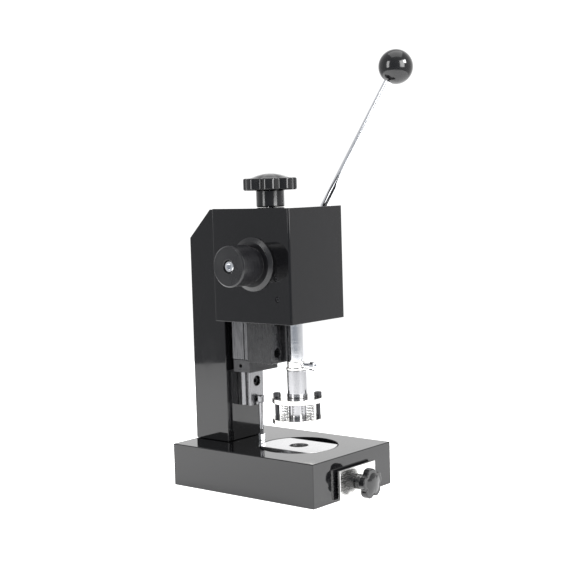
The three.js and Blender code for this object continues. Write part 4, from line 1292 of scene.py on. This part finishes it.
def area_light(name, place, aim_at, width, height, power):
    """A rectangular light, in metres and watts. The camera doesn't see it; reflections do."""
    data = bpy.data.lights.new(name, "AREA")
    data.shape = "RECTANGLE"
    data.size = width
    data.size_y = height
    data.energy = power
    light = bpy.data.objects.new(name, data)
    bpy.context.scene.collection.objects.link(light)
    light.location = place
    light.visible_camera = False
    light.rotation_mode = "QUATERNION"
    light.rotation_quaternion = (Vector(aim_at) - Vector(place)).to_track_quat("-Z", "Y")


def make_lights():
    """A soft light overhead, two tall boxes whose reflections run down the round parts, and one in front."""
    middle, above = (0, 0, 0.2), (0, 0, 0.6)
    area_light("overhead", (0.1, -0.1, 1.9), middle, 1.6, 1.6, 12)
    area_light("left_softbox", (-1.85, 0.5, 0.9), above, 0.6, 1.4, 21)
    area_light("right_softbox", (-0.28, -1.95, 0.9), above, 1.0, 1.4, 35)
    area_light("front_softbox", (0.35, -1.5, 1.1), middle, 0.5, 0.5, 22)


ROOM_DARK = (-0.93, -0.37, 0)      # the unlit side of the room, behind the camera's left shoulder


def make_world():
    """White to the camera; to reflections, a room that is dimmest on its unlit side."""
    world = bpy.data.worlds.new("studio")
    world.use_nodes = True
    bpy.context.scene.world = world
    nodes, links = world.node_tree.nodes, world.node_tree.links
    nodes.clear()
    output = nodes.new("ShaderNodeOutputWorld")
    room = nodes.new("ShaderNodeBackground")
    seen = nodes.new("ShaderNodeBackground")
    seen.inputs["Color"].default_value = (1.1, 1.1, 1.1, 1)
    where = nodes.new("ShaderNodeTexCoord")
    toward = nodes.new("ShaderNodeVectorMath")
    toward.operation = "DOT_PRODUCT"
    toward.inputs[1].default_value = ROOM_DARK
    shift = nodes.new("ShaderNodeMapRange")
    shift.inputs["From Min"].default_value = -1
    shift.inputs["From Max"].default_value = 1
    ramp = nodes.new("ShaderNodeValToRGB")
    stops = ramp.color_ramp.elements
    stops[0].position, stops[0].color = 0.0, (1.4, 1.4, 1.4, 1)
    stops[1].position, stops[1].color = 1.0, (0.3, 0.32, 0.35, 1)
    for place, color in ((0.28, (0.75, 0.75, 0.76, 1)), (0.75, (0.5, 0.51, 0.53, 1))):
        stops.new(place).color = color
    links.new(where.outputs["Generated"], toward.inputs[0])
    links.new(toward.outputs["Value"], shift.inputs["Value"])
    links.new(shift.outputs["Result"], ramp.inputs["Fac"])
    links.new(ramp.outputs["Color"], room.inputs["Color"])
    path = nodes.new("ShaderNodeLightPath")
    mix = nodes.new("ShaderNodeMixShader")
    links.new(path.outputs["Is Camera Ray"], mix.inputs["Fac"])
    links.new(room.outputs["Background"], mix.inputs[1])
    links.new(seen.outputs["Background"], mix.inputs[2])
    links.new(mix.outputs["Shader"], output.inputs["Surface"])


def make_camera():
    """Stands where the photograph was taken from, as solved from its box corners."""
    azimuth, elevation, roll = math.radians(-50.1), math.radians(4.74), math.radians(-1.66)
    target = Vector((0.013, -0.003, 0.215))
    distance = 1.37
    flat = math.cos(elevation)
    back = Vector((math.sin(azimuth) * flat, -math.cos(azimuth) * flat, math.sin(elevation)))
    data = bpy.data.cameras.new("camera")
    data.lens = 79.2
    data.clip_end = 100
    camera = bpy.data.objects.new("camera", data)
    bpy.context.scene.collection.objects.link(camera)
    camera.location = target + back * distance
    camera.rotation_mode = "QUATERNION"
    camera.rotation_quaternion = (-back).to_track_quat("-Z", "Y") @ Quaternion((0, 0, 1), roll)
    bpy.context.scene.camera = camera


bpy.context.scene.view_settings.view_transform = "Standard"
make_camera()
make_world()
make_lights()
make_floor()

for make in (
    make_base, make_column, make_stand_bolts, make_die_plate, make_die_screws, make_stop, make_head,
    make_side_screws, make_ram_bush, make_spring_housing, make_return_spring, make_pinion, make_end_cap,
    make_lever_hub, make_rod_set_screw, make_lever_rod, make_ball, make_top_knob, make_rail,
    make_carriage, make_bracket, make_ram, make_collar, make_punch, make_plates, make_shoulder_screws,
    make_springs, make_drawer, make_drawer_knob, finish_inner_pieces,
):
    make()
